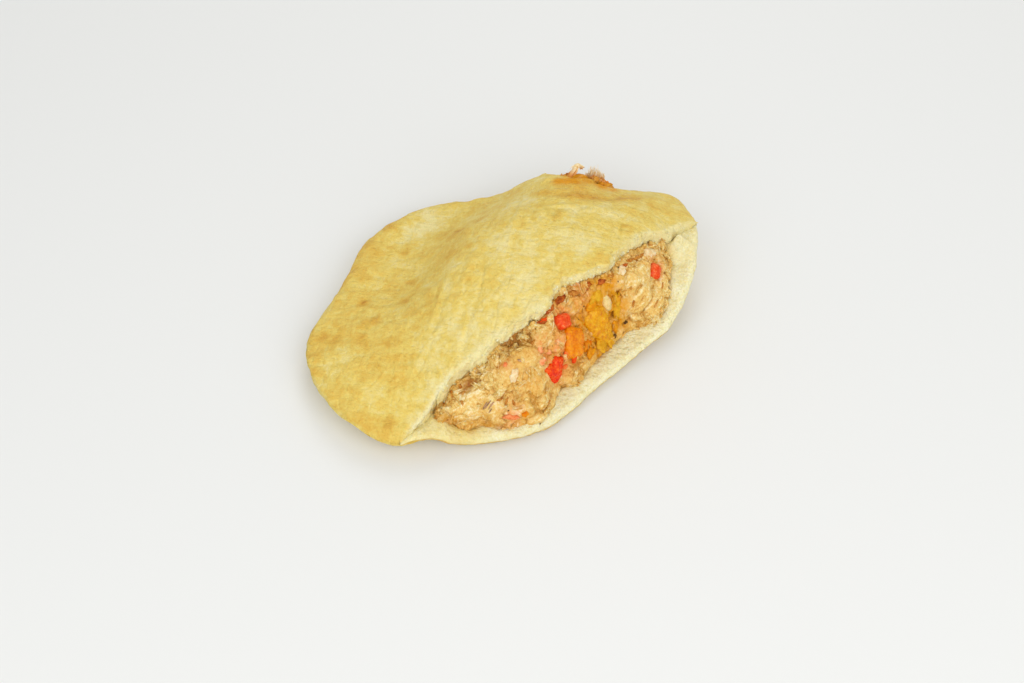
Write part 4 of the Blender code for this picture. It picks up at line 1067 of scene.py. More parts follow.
def filling_low(x, y):
    """Underside of the filling, resting just clear of the lower layer."""
    a = angle_of(x, y)
    r = np.minimum(np.hypot(x, y), spline(RIM, a) - 1.3)
    px, py = curve(a, r).T
    hidden = bump((spline(FILLING_EDGE, a) - r - 2) / 5)
    torn = in_sector(a, TEAR, 2) * bump((np.hypot(x, y) - spline(RIM, a) + 7) / 3)
    clear = GAP + 1.0 * hidden - 0.9 * torn
    return inner_bottom(px, py) + clear * stretch(bottom_height, px, py)


def filling_top(x, y):
    """Upper face of the filling before its flakes."""
    a = angle_of(x, y)
    r = np.hypot(x, y)
    lip = spline(TOP_LIP, a)
    edge = spline(FILLING_EDGE, a)
    shown = face_part(a)
    low = filling_low(x, y)
    torn = in_sector(a, TEAR, 3) * bump((r - spline(RIM, a) + 18) / 6)
    held = np.where(torn > 0, np.minimum(r, tear_lip(a) - 0.1), r)
    px, py = curve(a, np.where(shown > 0, np.minimum(held, lip - 0.4), held)).T
    hollow = shown * (1.6 * np.exp(-np.maximum(lip - r, 0) / 5) + 1.6 * bump((214 - a) / 8))
    hidden = np.where(shown > 0, bump((lip - r) / 6), 1.0) * (1 - torn)
    cap = inner_top(px, py) - GAP - 1.9 * hidden - 0.3 * torn - hollow
    closed = low + np.maximum(cap - low, 0.3) * rounding(edge - r, 4.0)
    u = np.clip((r - lip) / np.maximum(edge - lip, 1), 0, 1)
    face = blend(low, cap, np.maximum(1 - u ** 1.5, 0) ** 0.8)
    return blend(closed, np.where(r < lip, cap, face), shown)


def face_frame(x, y):
    """Point on the filling's upper face, two directions along it and the one out of it."""
    e = 0.7
    z = filling_top(np.array([x, x + e, x - e, x, x]), np.array([y, y, y, y + e, y - e]))
    out = unit(np.array([-(z[1] - z[2]) / (2 * e), -(z[3] - z[4]) / (2 * e), 1.0]))
    return (np.array([x, y, z[0]]), *axes(out), out)


def lump_reach(d, along, across, length, width, turn):
    """Offsets along and across a turned lump, then both as shares of its half sizes."""
    u_axis, v_axis = turned_axes(along, across, turn)
    du, dv = d @ u_axis, d @ v_axis
    return du, dv, du / (0.5 * length), dv / (0.5 * width)


class FishFace:
    """Skin of the filling: a smooth form covered by overlapping flakes in relief."""

    def __init__(self, look):
        self.rng = np.random.default_rng(look.seed)
        self.skin = self.smooth_skin(look.cell)
        self.base = self.skin.points()
        self.show = self.skin.all_marks().show
        self.normal = normals_of(self.base, self.skin.faces)
        self.pick = np.flatnonzero(self.show > 0.5)
        self.red, self.pepper = pepper_points("red"), pepper_points("")
        self.flakes(look)
        self.points = self.base + self.normal * self.height[:, None]
        self.tilted = normals_of(self.points, self.skin.faces)

    def smooth_skin(self, step):
        """Skin without flakes, marked where it is seen."""
        s = Skin(("show",))
        a = np.unique(np.round(columns(step, FISH_COLUMNS) % 360, 6))
        edge = spline(FILLING_EDGE, a)
        x, y = curve(a, edge).T
        ragged = 0.9 * plan_noise(x, y, 4, 31) + 0.5 * plan_noise(x, y, 1.6, 32)
        edge = edge + ragged * face_part(a)
        x, y = curve(a, edge).T
        rim = s.ring(x, y, filling_low(x, y) + 0.35, show=face_part(a))
        previous = rim
        for f in FISH_UNDER:
            x, y = curve(a, edge * f).T
            previous = s.grow(previous, x, y, filling_low(x, y))
        s.fan(previous, filling_low)
        # Rings of the upper face: evenly over the part in the mouth, then wider to the middle
        start = np.minimum(spline(TOP_LIP, a), edge - 4)
        shown = face_part(a) > 0.5
        even = np.linspace(0, 1, int(FISH_DEPTH / step) + 1)[1:] * FISH_EVEN
        left = 1 - FISH_EVEN
        previous = rim
        for f in np.concatenate((even, FISH_EVEN + left * np.array(FISH_WIDER))):
            if f < FISH_EVEN:
                stepped = blend(edge, start, f / FISH_EVEN)
            else:
                stepped = start * (1 - (f - FISH_EVEN) / left)
            r = np.where(shown, stepped, edge * (1 - RING_REACH * f))
            x, y = curve(a, r).T
            seen = np.where(shown, 1.0, 0.0) if f < FISH_SEEN else 0.0
            seen = np.maximum(seen, in_sector(a, TEAR_FACE, 2) * (r > TEAR_FACE_RADIUS))
            previous = s.grow(previous, x, y, filling_top(x, y), show=seen)
        s.fan(previous, filling_top)
        return s

    def lumps(self, look):
        """Chunks, flakes under the top lip, then flakes and crumbs, largest first."""
        rng = self.rng
        lumps = []
        for x, y, length, width, thick, turn, _ in CHUNKS:
            spot, along, across, _ = face_frame(x, y)
            turn = math.radians(turn)
            lumps.append((spot, along, across, length, width, thick * 0.8, turn, 0.0))
        self.large = list(lumps)
        for a in np.linspace(*LIP_FLAKES):
            x, y = curve(a, spline(TOP_LIP, a) + rng.uniform(0.1, 1.0))
            if min(math.hypot((x - q[0]) / q[2], (y - q[1]) / q[3]) for q in PITS) < 1:
                continue
            size = rng.uniform(2.6, 4.8)
            lumps.append((
                *face_frame(x, y)[:3], size, size * rng.uniform(0.55, 0.9), rng.uniform(1.3, 2.2),
                rng.uniform(0, TURN), 0.2))
        for count, small, large, thick in (
            (look.flakes, 3.0, 6.5, 1.25), (look.crumbs, 1.3, 3.0, 0.75),
        ):
            for i in self.places(rng, count, 0.65):
                size = rng.uniform(small, large)
                lumps.append((
                    self.base[i], *axes(self.normal[i]), size, size * rng.uniform(0.45, 0.85),
                    thick * rng.uniform(0.6, 1.1), rng.uniform(0, TURN), rng.uniform(-0.3, 0.9)))
        return lumps

    def flakes(self, look):
        """Height of overlapping flakes over the smooth form, and which flake is on top."""
        lumps = self.lumps(look)
        p = self.base
        height = np.full(len(p), -0.4)
        tint = np.full(len(p), 0.3)
        grain = np.zeros(len(p))
        smooth = np.zeros(len(p))
        q = p[self.pick]
        warp = np.stack([noise(q, 2.6, seed) for seed in (41, 42, 43)], -1)
        warp += 0.5 * np.stack([noise(q, 1.0, seed) for seed in (44, 45, 46)], -1)
        warped = q + warp * 0.9
        for number, (spot, along, across, length, width, thick, turn, lift) in enumerate(lumps):
            d = warped - spot
            near = np.flatnonzero(np.abs(d).max(1) < 0.62 * length + 1)
            if not len(near):
                continue
            du, dv, u, v = lump_reach(d[near], along, across, length, width, turn)
            reach = (np.abs(u) ** 2.4 + np.abs(v) ** 2.4) ** (1 / 2.4)
            slope = 0.25 * math.sin(7.1 * number) * u + 0.25 * math.cos(5.3 * number) * v
            dome = (1 - np.clip(reach, 0, 1.0) ** 2.6) ** 0.8
            h = np.where(reach < 1, thick * (1 + slope) * dome + lift * thick * 0.5, -9)
            where = self.pick[near]
            over = h > height[where]
            where = where[over]
            height[where] = h[over]
            chunk = number < len(CHUNKS)
            tint[where] = (
                0.2 + 0.7 * CHUNKS[number][6] if chunk else 0.5 + 0.32 * math.sin(12.9898 * number))
            smooth[where] = chunk
            du, dv = du[over], dv[over]
            if number == 0:
                # The first chunk shows its fibres across its length
                du, dv = 0.76 * du - 0.64 * dv, 0.64 * du + 0.76 * dv
            grain[where] = value_noise(du / 5.0, dv / 0.75, number * 0.37, 51)
        for x, y, reach, pale in SOFT_LUMPS:
            d2 = (p[:, 0] - x) ** 2 + (p[:, 1] - y) ** 2
            soft = np.exp(-(d2 / reach ** 2) ** 1.5) * (self.show > 0)
            smooth = np.maximum(smooth, soft)
            tint = blend(tint, pale, 0.7 * soft)
            height = blend(height, 1.2, 0.6 * soft)
        pit = np.zeros(len(p))
        for x, y, half_long, half_wide, depth in PITS:
            reach = ((p[:, 0] - x) / half_long) ** 2 + ((p[:, 1] - y) / half_wide) ** 2
            pit = np.maximum(pit, depth * np.exp(-1.6 * reach))
        rough = (0.3 * noise(p, 1.9, 52) + 0.2 * noise(p, 0.9, 53)) * (1 - 0.5 * smooth)
        rough = (rough + 0.2 * grain) * self.show * (1 + 0.6 * pit)
        a, r = polar(p)
        torn = in_sector(a, TEAR, 2) * (r > TEAR_FACE_RADIUS)
        inside = bump((spline(FILLING_EDGE, a) + 0.8 - r) / 1.6)
        hold = bump((r - spline(TOP_LIP, a)) / 2.5 + 0.9) * inside
        height = (height + rough - pit) * np.maximum(hold, 0.35 * torn) * (self.show > 0)
        # Flakes stay low next to the pepper pieces, so that these lie on the fish
        for part in np.array_split(self.pick, 40):
            for corners, over in ((self.red, 0.1), (self.pepper, 0.8)):
                d = p[part][:, None] - corners[None]
                near = np.sqrt((d * d).sum(2).min(1))
                top = np.clip((near - 1.2) / 1.2, 0, 1)
                height[part] = np.minimum(height[part], over + 3.5 * top)
        self.height, self.tint, self.grain, self.smooth, self.pit = height, tint, grain, smooth, pit
        # Painted shade: how far each point lies below its neighbours, more in the pits
        self.hollow_shade = self.hollows(height) + 0.3 * pit

    def on_large(self, point):
        """Whether a point lies well inside one of the larger chunks."""
        for spot, along, across, length, width, _, turn, _ in self.large:
            _, _, u, v = lump_reach(point - spot, along, across, length, width, turn)
            if u * u + v * v < 0.72:
                return True
        return False

    def places(self, rng, count, kept_off):
        """Shown points, of which a share keeps off the larger chunks."""
        for i in rng.choice(self.pick, count):
            if rng.random() < kept_off and self.on_large(self.base[i]):
                continue
            yield i

    def free(self, points, rng):
        """Whether a piece keeps off the red pepper, and mostly off the yellow and orange."""
        if not clear_of(points, self.red):
            return False
        return rng.random() < 0.25 or clear_of(points, self.pepper)

    def hollows(self, height):
        """How far each point lies below its neighbours, from the mesh's own edges."""
        quads = np.array([f for f in self.skin.faces if len(f) == 4])
        mean = height.copy()
        for _ in range(7):
            total = np.zeros(len(height))
            count = np.zeros(len(height))
            for a, b in ((0, 1), (1, 2), (2, 3), (3, 0)):
                for i, j in ((quads[:, a], quads[:, b]), (quads[:, b], quads[:, a])):
                    np.add.at(total, i, mean[j])
                    np.add.at(count, i, 1)
            mean = np.where(count > 0, total / np.maximum(count, 1), mean)
        return np.clip((mean - height) / 0.7, 0, 1.5)

    def spot(self, i):
        """Point of the finished face, two directions along it and the one out of it."""
        out = unit(self.tilted[i] * 0.5 + self.normal[i] * 0.5)
        return (self.points[i], *axes(out), out)

    def nearest(self, x, y):
        """Number of the shown point nearest to a place in plan."""
        d = np.hypot(self.points[self.pick, 0] - x, self.points[self.pick, 1] - y)
        return self.pick[np.argmin(d)]


def pepper_points(kind):
    """Corners of the pepper solids of a kind in millimetres."""
    found = []
    for name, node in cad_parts.items():
        if "pepper" in name and kind in name:
            found.append(np.array([v.co for v in node.data.vertices]) / MM + MIDDLE)
    return np.concatenate(found)


def clear_of(points, corners, room=0.9):
    """Whether all points keep some room from the corners."""
    d = points[:, None] - corners[None]
    return (d * d).sum(2).min() > room * room


class Heap:
    """Many small closed pieces gathered into one mesh, each with marks of its own."""

    def __init__(self, names=()):
        self.points = []
        self.faces = []
        self.count = 0
        self.marks = {name: [] for name in names}

    def add(self, points, faces, **marks):
        """Adds a piece, with one value for each mark."""
        self.points.append(points)
        self.faces.extend([[i + self.count for i in f] for f in faces])
        for name, values in self.marks.items():
            values.append(np.full(len(points), marks.get(name, 0.0)))
        self.count += len(points)

    def made(self, name, material, slot):
        """Makes one mesh object of all pieces."""
        marks = {key: np.concatenate(values) for key, values in self.marks.items()}
        make_object(name, np.concatenate(self.points), self.faces, material, (), marks)


def worn_slab(rng, length, width, thick, sides=10, curl=0.0, worn=1.0):
    """Flake: a thin uneven slab with a worn outline, domed above, standing on z = 0."""
    wobble = 1 + worn * (0.2 * rng.uniform(-1, 1, sides) + 0.16 * rng.uniform(-1, 1, sides))
    t = np.linspace(0, 2 * math.pi, sides, endpoint=False) + rng.uniform(0, TURN)
    rings = []
    for grow, lift in ((0.55, -0.45), (0.93, -0.2), (1.0, 0.3), (0.84, 0.78), (0.45, 1.0)):
        r = grow * wobble * (1 + 0.05 * rng.uniform(-1, 1, sides))
        z = thick * (lift + 0.1 * rng.uniform(-1, 1, sides))
        rings.append(np.stack((0.5 * length * r * np.cos(t), 0.5 * width * r * np.sin(t), z), -1))
    tips = np.array([[0, 0, -0.45 * thick], [0, 0, thick * rng.uniform(0.9, 1.1)]])
    points = np.concatenate(rings + [tips])
    points[:, 2] += curl * (points[:, 0] / length) ** 2 * 4
    faces = tube_faces(5, sides)
    for k in range(sides):
        j = (k + 1) % sides
        faces.append([5 * sides, j, k])
        faces.append([5 * sides + 1, 4 * sides + k, 4 * sides + j])
    return points, faces


def tube_faces(rings, sides):
    """Faces between rings of points that follow each other."""
    faces = []
    for a in range(0, (rings - 1) * sides, sides):
        for k in range(sides):
            j = (k + 1) % sides
            faces.append([a + k, a + j, a + sides + j, a + sides + k])
    return faces


def strand(path, widths, flat=0.6, sides=5):
    """Closed thin strand along a path, tapering as its widths say."""
    ahead = unit(np.gradient(path, axis=0))
    side = unit(np.cross(ahead, (0.31, 0.23, 0.92)))
    over = np.cross(side, ahead)
    t = np.linspace(0, 2 * math.pi, sides, endpoint=False)[None, :, None]
    half = 0.5 * np.asarray(widths)[:, None, None]
    rings = path[:, None] + half * (np.cos(t) * side[:, None] + flat * np.sin(t) * over[:, None])
    count = len(path) * sides
    faces = [list(range(sides))[::-1], *tube_faces(len(path), sides)]
    faces.append(list(range(count - sides, count)))
    return rings.reshape(-1, 3), faces


def set_down(points, place, turn, sink, tilt=0.0):
    """Points of a piece set on a face, turned in its plane and tipped."""
    spot, along, across, out = place
    u, v = turned_axes(along, across, turn)
    u, out = turned_axes(u, out, tilt)
    return spot + points[:, :1] * u + points[:, 1:2] * v + (points[:, 2:] - sink) * out


def stains(p, table):
    """Strongest of some round stains, each given as x, y, reach and strength."""
    total = np.zeros(len(p))
    for x, y, reach, strength in table:
        total = np.maximum(total, strength * hill(p[:, 0], p[:, 1], x, y, reach ** 2))
    return total


def colour(name, description, *value):
    """Setting for a colour as a screen shows it."""
    return FloatVectorProperty(
        name=name, description=description, subtype="COLOR_GAMMA", default=value, min=0, max=1)


def number(name, description, default, least=0.0):
    """Setting for a size or a strength."""
    return FloatProperty(name=name, description=description, default=default, min=least)


def power(name, description, default):
    """Setting for the power of a light."""
    return FloatProperty(
        name=name, description=description, default=default, min=0, unit="POWER")


def tally(name, description, default):
    """Setting for a whole number."""
    return IntProperty(name=name, description=description, default=default, min=0)


class BreadLook(bpy.types.PropertyGroup):
    """Sizes and colours of the bread."""

    cell: number("Cell", "Width of the crust's mesh cells in millimetres", 0.85, 0.5)
    crumb_depth: number("Crumb relief", "Depth of the torn crumb at the lips in millimetres", 0.55)
    pale: colour("Pale crust", "Least fried crust", 0.96, 0.9, 0.63)
    yellow: colour("Yellow crust", "Most of the crust", 0.935, 0.83, 0.435)
    golden: colour("Golden crust", "Well fried crust", 0.905, 0.75, 0.335)
    amber: colour("Amber crust", "Browned patches", 0.86, 0.665, 0.27)
    brown: colour("Brown crust", "Darkest spots", 0.74, 0.48, 0.16)
    crumb: colour("Crumb", "Bread inside the crust", 0.965, 0.93, 0.73)
    stain: colour("Oil stain", "Crust stained by the filling's oil", 0.91, 0.62, 0.05)


class FishLook(bpy.types.PropertyGroup):
    """Sizes, counts and colours of the flaked fish."""

    cell: number("Cell", "Width of the filling's mesh cells in millimetres", 0.36, 0.3)
    seed: tally("Seed", "Start of the random draws", 5)
    flakes: tally("Flakes", "Middling flakes in relief", 230)
    crumbs: tally("Small flakes", "Small flakes in relief", 420)
    loose: tally("Loose flakes", "Separate flakes on the filling", 260)
    fibres: tally("Fibres", "Thin strands of fish", 260)
    bundles: tally("Shreds", "Bundles of parallel fibres", 230)
    specks: tally("Specks", "Dark herb and pepper specks", 34)
    cream: colour("Cream flesh", "Palest fish", 0.98, 0.92, 0.735)
    flesh: colour("Flesh", "Most of the fish", 0.92, 0.79, 0.475)
    peach: colour("Peach flesh", "Warmer fish", 0.885, 0.70, 0.36)
    tan: colour("Tan flesh", "Browner fish", 0.76, 0.53, 0.21)
    stained: colour("Stained flesh", "Fish next to the pepper", 0.865, 0.59, 0.06)
    flushed: colour("Flushed flesh", "Fish reddened by the pepper", 0.90, 0.42, 0.17)
    # Painted shade in the hollows between the flakes, also the brown of oil there
    crevice_shade_and_oil: colour("Crevice", "Oil between the flakes", 0.74, 0.50, 0.16)
    # Painted shade under the top lip and in the pits, also fried brown fish
    burnt: colour("Fried edge", "Fried brown fish in the hollows", 0.58, 0.28, 0.05)


class StageLook(bpy.types.PropertyGroup):
    """Floor, light and camera."""

    floor: colour("Floor", "Plain pale floor", 0.91, 0.915, 0.91)
    key: power("Key light", "Main soft light", 1.6)
    front: power("Front light", "Large soft light over the viewer", 4.4)
    side: power("Side light", "Large soft light from the left", 2.25)
    fill: number("World light", "Even light from all sides", 0.62)
    lens: number("Lens", "Focal length in millimetres", 47.46, 10)


class MakeBread(bpy.types.Operator):
    """Makes the bread's crust and crumb over the bread's solid"""

    bl_idname = "bake.make_bread"
    bl_label = "Bread"

    def execute(self, context):
        look = context.scene.bake_bread
        s = bread_skin(look.cell)
        p, m = s.points(), s.all_marks()
        normal = normals_of(p, s.faces)
        p = self.roughen(p, normal, m, look.crumb_depth)
        self.rest_on_filling(p, m)
        self.swell(p, m)
        p[:, 2] = np.maximum(p[:, 2], 0.0)
        marks = {
            "fringe": self.fringe(p, m),
            "crumb": self.crumb(p, m),
            "golden": self.golden(p, m),
            "stain": np.clip(stains(p, TEAR_OIL), 0, 1) * (0.25 + 0.75 * m.upper),
            "oiled": self.oiled(p, m),
        }
        paint = crust_paint(look)
        make_object("bread", p, s.faces, paint, ("bake",), marks)
        torn = (m.under > 0.2) & (m.under < 0.95) & (m.upper > 0.5) & (m.split > 0.9)
        self.crumbs(p, normal, np.flatnonzero(torn), paint)
        return {"FINISHED"}

    def roughen(self, p, normal, m, crumb_depth):
        """Relief of crust and crumb along the normals, then the ragged edge of the lips."""
        x, y = p[:, 0], p[:, 1]
        near = m.split * np.exp(-m.lip / 1.5)
        flat = np.where((m.upper < 0.5) & (m.crumb < 0.5), bump(p[:, 2] / 1.2), 1.0)
        move = (1 - m.crumb) * flat * crust_detail(p) * (1 - 0.6 * near)
        grit = crumb_depth * (0.7 * noise(p, 2.2, 61) + 0.6 * noise(p, 1.1, 62))
        move = move + grit * (0.35 + 0.65 * m.upper) * np.maximum(m.crumb * 0.5, near)
        p = p + normal * move[:, None]
        above = 0.8 * noise(p, 3.2, 63) + 0.6 * noise(p, 1.4, 64)
        above = above - 1.1 * bump((plan_noise(x, y, 4.5, 65) - 0.3) / 0.3)
        below = 0.35 * noise(p, 6.0, 66) + 0.15 * noise(p, 1.8, 67)
        ragged = above * m.upper + (1 - m.upper) * below
        a = angle_of(x, y)
        tongue = m.upper * near * np.exp(-((a - TONGUE) / 2.3) ** 2)
        out = ragged * near * in_sector(a, MOUTH, 5) + 3.0 * tongue
        p[:, :2] += curve(a, out)
        p[:, 2] -= 1.2 * tongue
        return p

    def rest_on_filling(self, p, m):
        """Lets the torn underside of the upper lip hang down onto the fish."""
        inside = (m.crumb > 0.99) * np.exp(-m.lip / 2.5)
        near = m.upper * m.split * np.maximum(bump((m.under - 0.4) / 0.5), inside)
        pick = np.flatnonzero(near > 0.02)
        x, y = p[pick, 0], p[pick, 1]
        a = angle_of(x, y)
        most = 1.3 + 2.2 * bump((218 - a) / 8) + 2.0 * bump((a - 322) / 8)
        most = most + 2.5 * np.exp(-((a - TONGUE) / 3) ** 2)
        corner = np.maximum(bump((211.5 - a) / 5), bump((a - 326) / 5))
        rest = blend(filling_top(x, y) + 0.3, inner_bottom(x, y) - 0.5, corner)
        drop = np.clip(p[pick, 2] - rest, 0, most + 3 * corner)
        p[pick, 2] -= drop * near[pick] * in_sector(a, MOUTH, 1.5)

    def swell(self, p, m):
        """Crumb of the lower layer pressed up round the edge of the filling."""
        pick = np.flatnonzero((m.crumb > 0.95) & (m.upper < 0.5) & (m.split > 0.3))
        x, y = p[pick, 0], p[pick, 1]
        a, r = polar(p[pick])
        out = r - spline(FILLING_EDGE, a)
        shut = bump((a - 324) / 5)
        high = 1.0 + 1.8 * bump((a - 308) / 10) + 3.2 * shut
        high = high + 3.9 * bump((a - 322.5) / 7.5) + 1.2 * bump((216 - a) / 8)
        high = high * (1 + 0.35 * plan_noise(x, y, 3, 79))
        inside = np.exp(-(np.minimum(out + 0.6, 0) / (1.2 + 2 * shut)) ** 2)
        beyond = np.exp(-np.maximum(out - 0.8 - 3 * shut, 0) / (2.4 + 3 * shut))
        edge = bump((spline(RIM, a) - 1.3 - r) / 5)
        sector = in_sector(a, (MOUTH[0], MOUTH[1] + 4), 6)
        p[pick, 2] += high * inside * beyond * sector * (1 - shut + shut * edge)

    def golden(self, p, m):
        """How well fried each place is, from 0 to 1."""
        x, y = p[:, 0], p[:, 1]
        a = angle_of(x, y)
        (from_x, from_y), (run_x, run_y) = CREST[0], CREST_RUN
        side = np.sign((x - from_x) * -run_y + (y - from_y) * run_x)
        beyond = away(x, y, np.array(CREST, float)) * side
        g = 0.44 + 0.07 * bump(beyond / 14 + 0.3) - 0.04 * bump(-beyond / 20)
        g = g + 0.1 * plan_noise(x, y, 11, 71) + 0.06 * plan_noise(x, y, 5, 72)
        g = g + 0.07 * hill(x, y, 45, -8, 900) + 0.1 * np.exp(-away(x, y, *CLOSED_EDGE) / 4)
        g = g + 0.2 * hill(x, y, 47, 9, 190)
        wx = x + 0.9 * plan_noise(x, y, 2.5, 77)
        wy = y + 0.9 * plan_noise(x, y, 2.5, 78)
        for sx, sy, radius, strength in SPOTS:
            core, halo = (hill(wx, wy, sx, sy, (radius * k) ** 2) for k in (1, 1.9))
            g = g + strength * (0.3 * core + 0.1 * halo)
        for sx, sy, radius, strength in PALES:
            g = g - 0.2 * strength * hill(wx, wy, sx, sy, radius ** 2)
        g = g + 0.3 * np.exp(-(away(x, y, np.array(OILY_CREASE)) / 2.5) ** 2)
        plain = self.plain(a)
        edge_pale = 0.17 * (1 - 0.75 * plain) * m.split * m.upper * np.exp(-(m.lip / 2.5) ** 2)
        edge_brown = 0.12 * plain * m.upper * (m.crumb < 0.5) * np.exp(-(m.lip / 5) ** 2)
        below = 0.5 + 0.16 * plan_noise(x, y, 9, 73) + 0.2 * m.split * np.exp(-m.lip / 2)
        g = np.where((m.upper < 0.5) & (m.crumb < 0.5), below, g - edge_pale + edge_brown)
        return np.clip(g, 0, 1)

    def plain(self, a):
        """One where the upper lip keeps the colour of the crust up to its edge."""
        return bump((a - 250) / 20) * bump((320 - a) / 8)

    def crumb(self, p, m):
        """Share of crumb, less on the upper lip and at both ends of the lower one."""
        a = angle_of(p[:, 0], p[:, 1])
        below = (1 - m.upper) * m.split
        ends = 0.58 * bump((230 - a) / 12) * below + 0.25 * bump((a - 316) / 10) * below
        corner = bump((214 - a) / 8) * m.upper
        share = np.clip(m.crumb, 0, 1) * (1 - (0.62 + 0.2 * corner) * m.upper * (m.under > 0))
        faded = 0.3 * (1 - 0.9 * self.plain(a)) * np.exp(-(m.lip / 3) ** 2)
        faded = faded + 0.55 * corner * np.exp(-(m.lip / 4.5) ** 2)
        faded = faded * m.split * m.upper * in_sector(a, (MOUTH[0] - 1, MOUTH[1]), 3)
        return np.maximum(share * (1 - ends), faded * (m.crumb < 0.5))

    def fringe(self, p, m):
        """Brown oily edge where the fish touches the upper lip."""
        x, y = p[:, 0], p[:, 1]
        patch = plan_noise(x, y, 3.2, 75) + 0.6 * plan_noise(x, y, 1.1, 76)
        return m.upper * m.split * bump((m.under - 0.5) / 0.3) * bump((patch + 0.12) / 0.4)

    def oiled(self, p, m):
        """Oil soaked into the crumb round the filling's edge."""
        a, r = polar(p)
        patch = bump(0.5 + 0.9 * plan_noise(p[:, 0], p[:, 1], 4, 74))
        soaked = np.exp(-np.maximum(r - spline(FILLING_EDGE, a), 0) / 1.5)
        return m.crumb * (1 - 0.6 * m.upper) * np.clip(soaked * (0.15 + 0.5 * patch), 0, 1)

    def crumbs(self, p, normal, pick, paint):
        """Small torn lumps of crumb along the lips."""
        rng = np.random.default_rng(CRUMB_SEED)
        heap = Heap(("crumb", "oiled", "fringe"))
        for i in rng.choice(pick, CRUMB_COUNT):
            size = rng.uniform(0.4, 1.4)
            wide, thick = size * rng.uniform(0.5, 0.9), size * rng.uniform(0.3, 0.6)
            points, faces = worn_slab(rng, size, wide, thick, 8)
            place = (p[i], *axes(normal[i], (1.0, 0.1, 0.2)), normal[i])
            points = set_down(points, place, rng.uniform(0, TURN), 0.1, rng.uniform(-0.5, 0.5))
            heap.add(points, faces, crumb=0.75, oiled=rng.uniform(0, 0.4) ** 2)
        heap.made("crumbs", paint, "fried_bread")


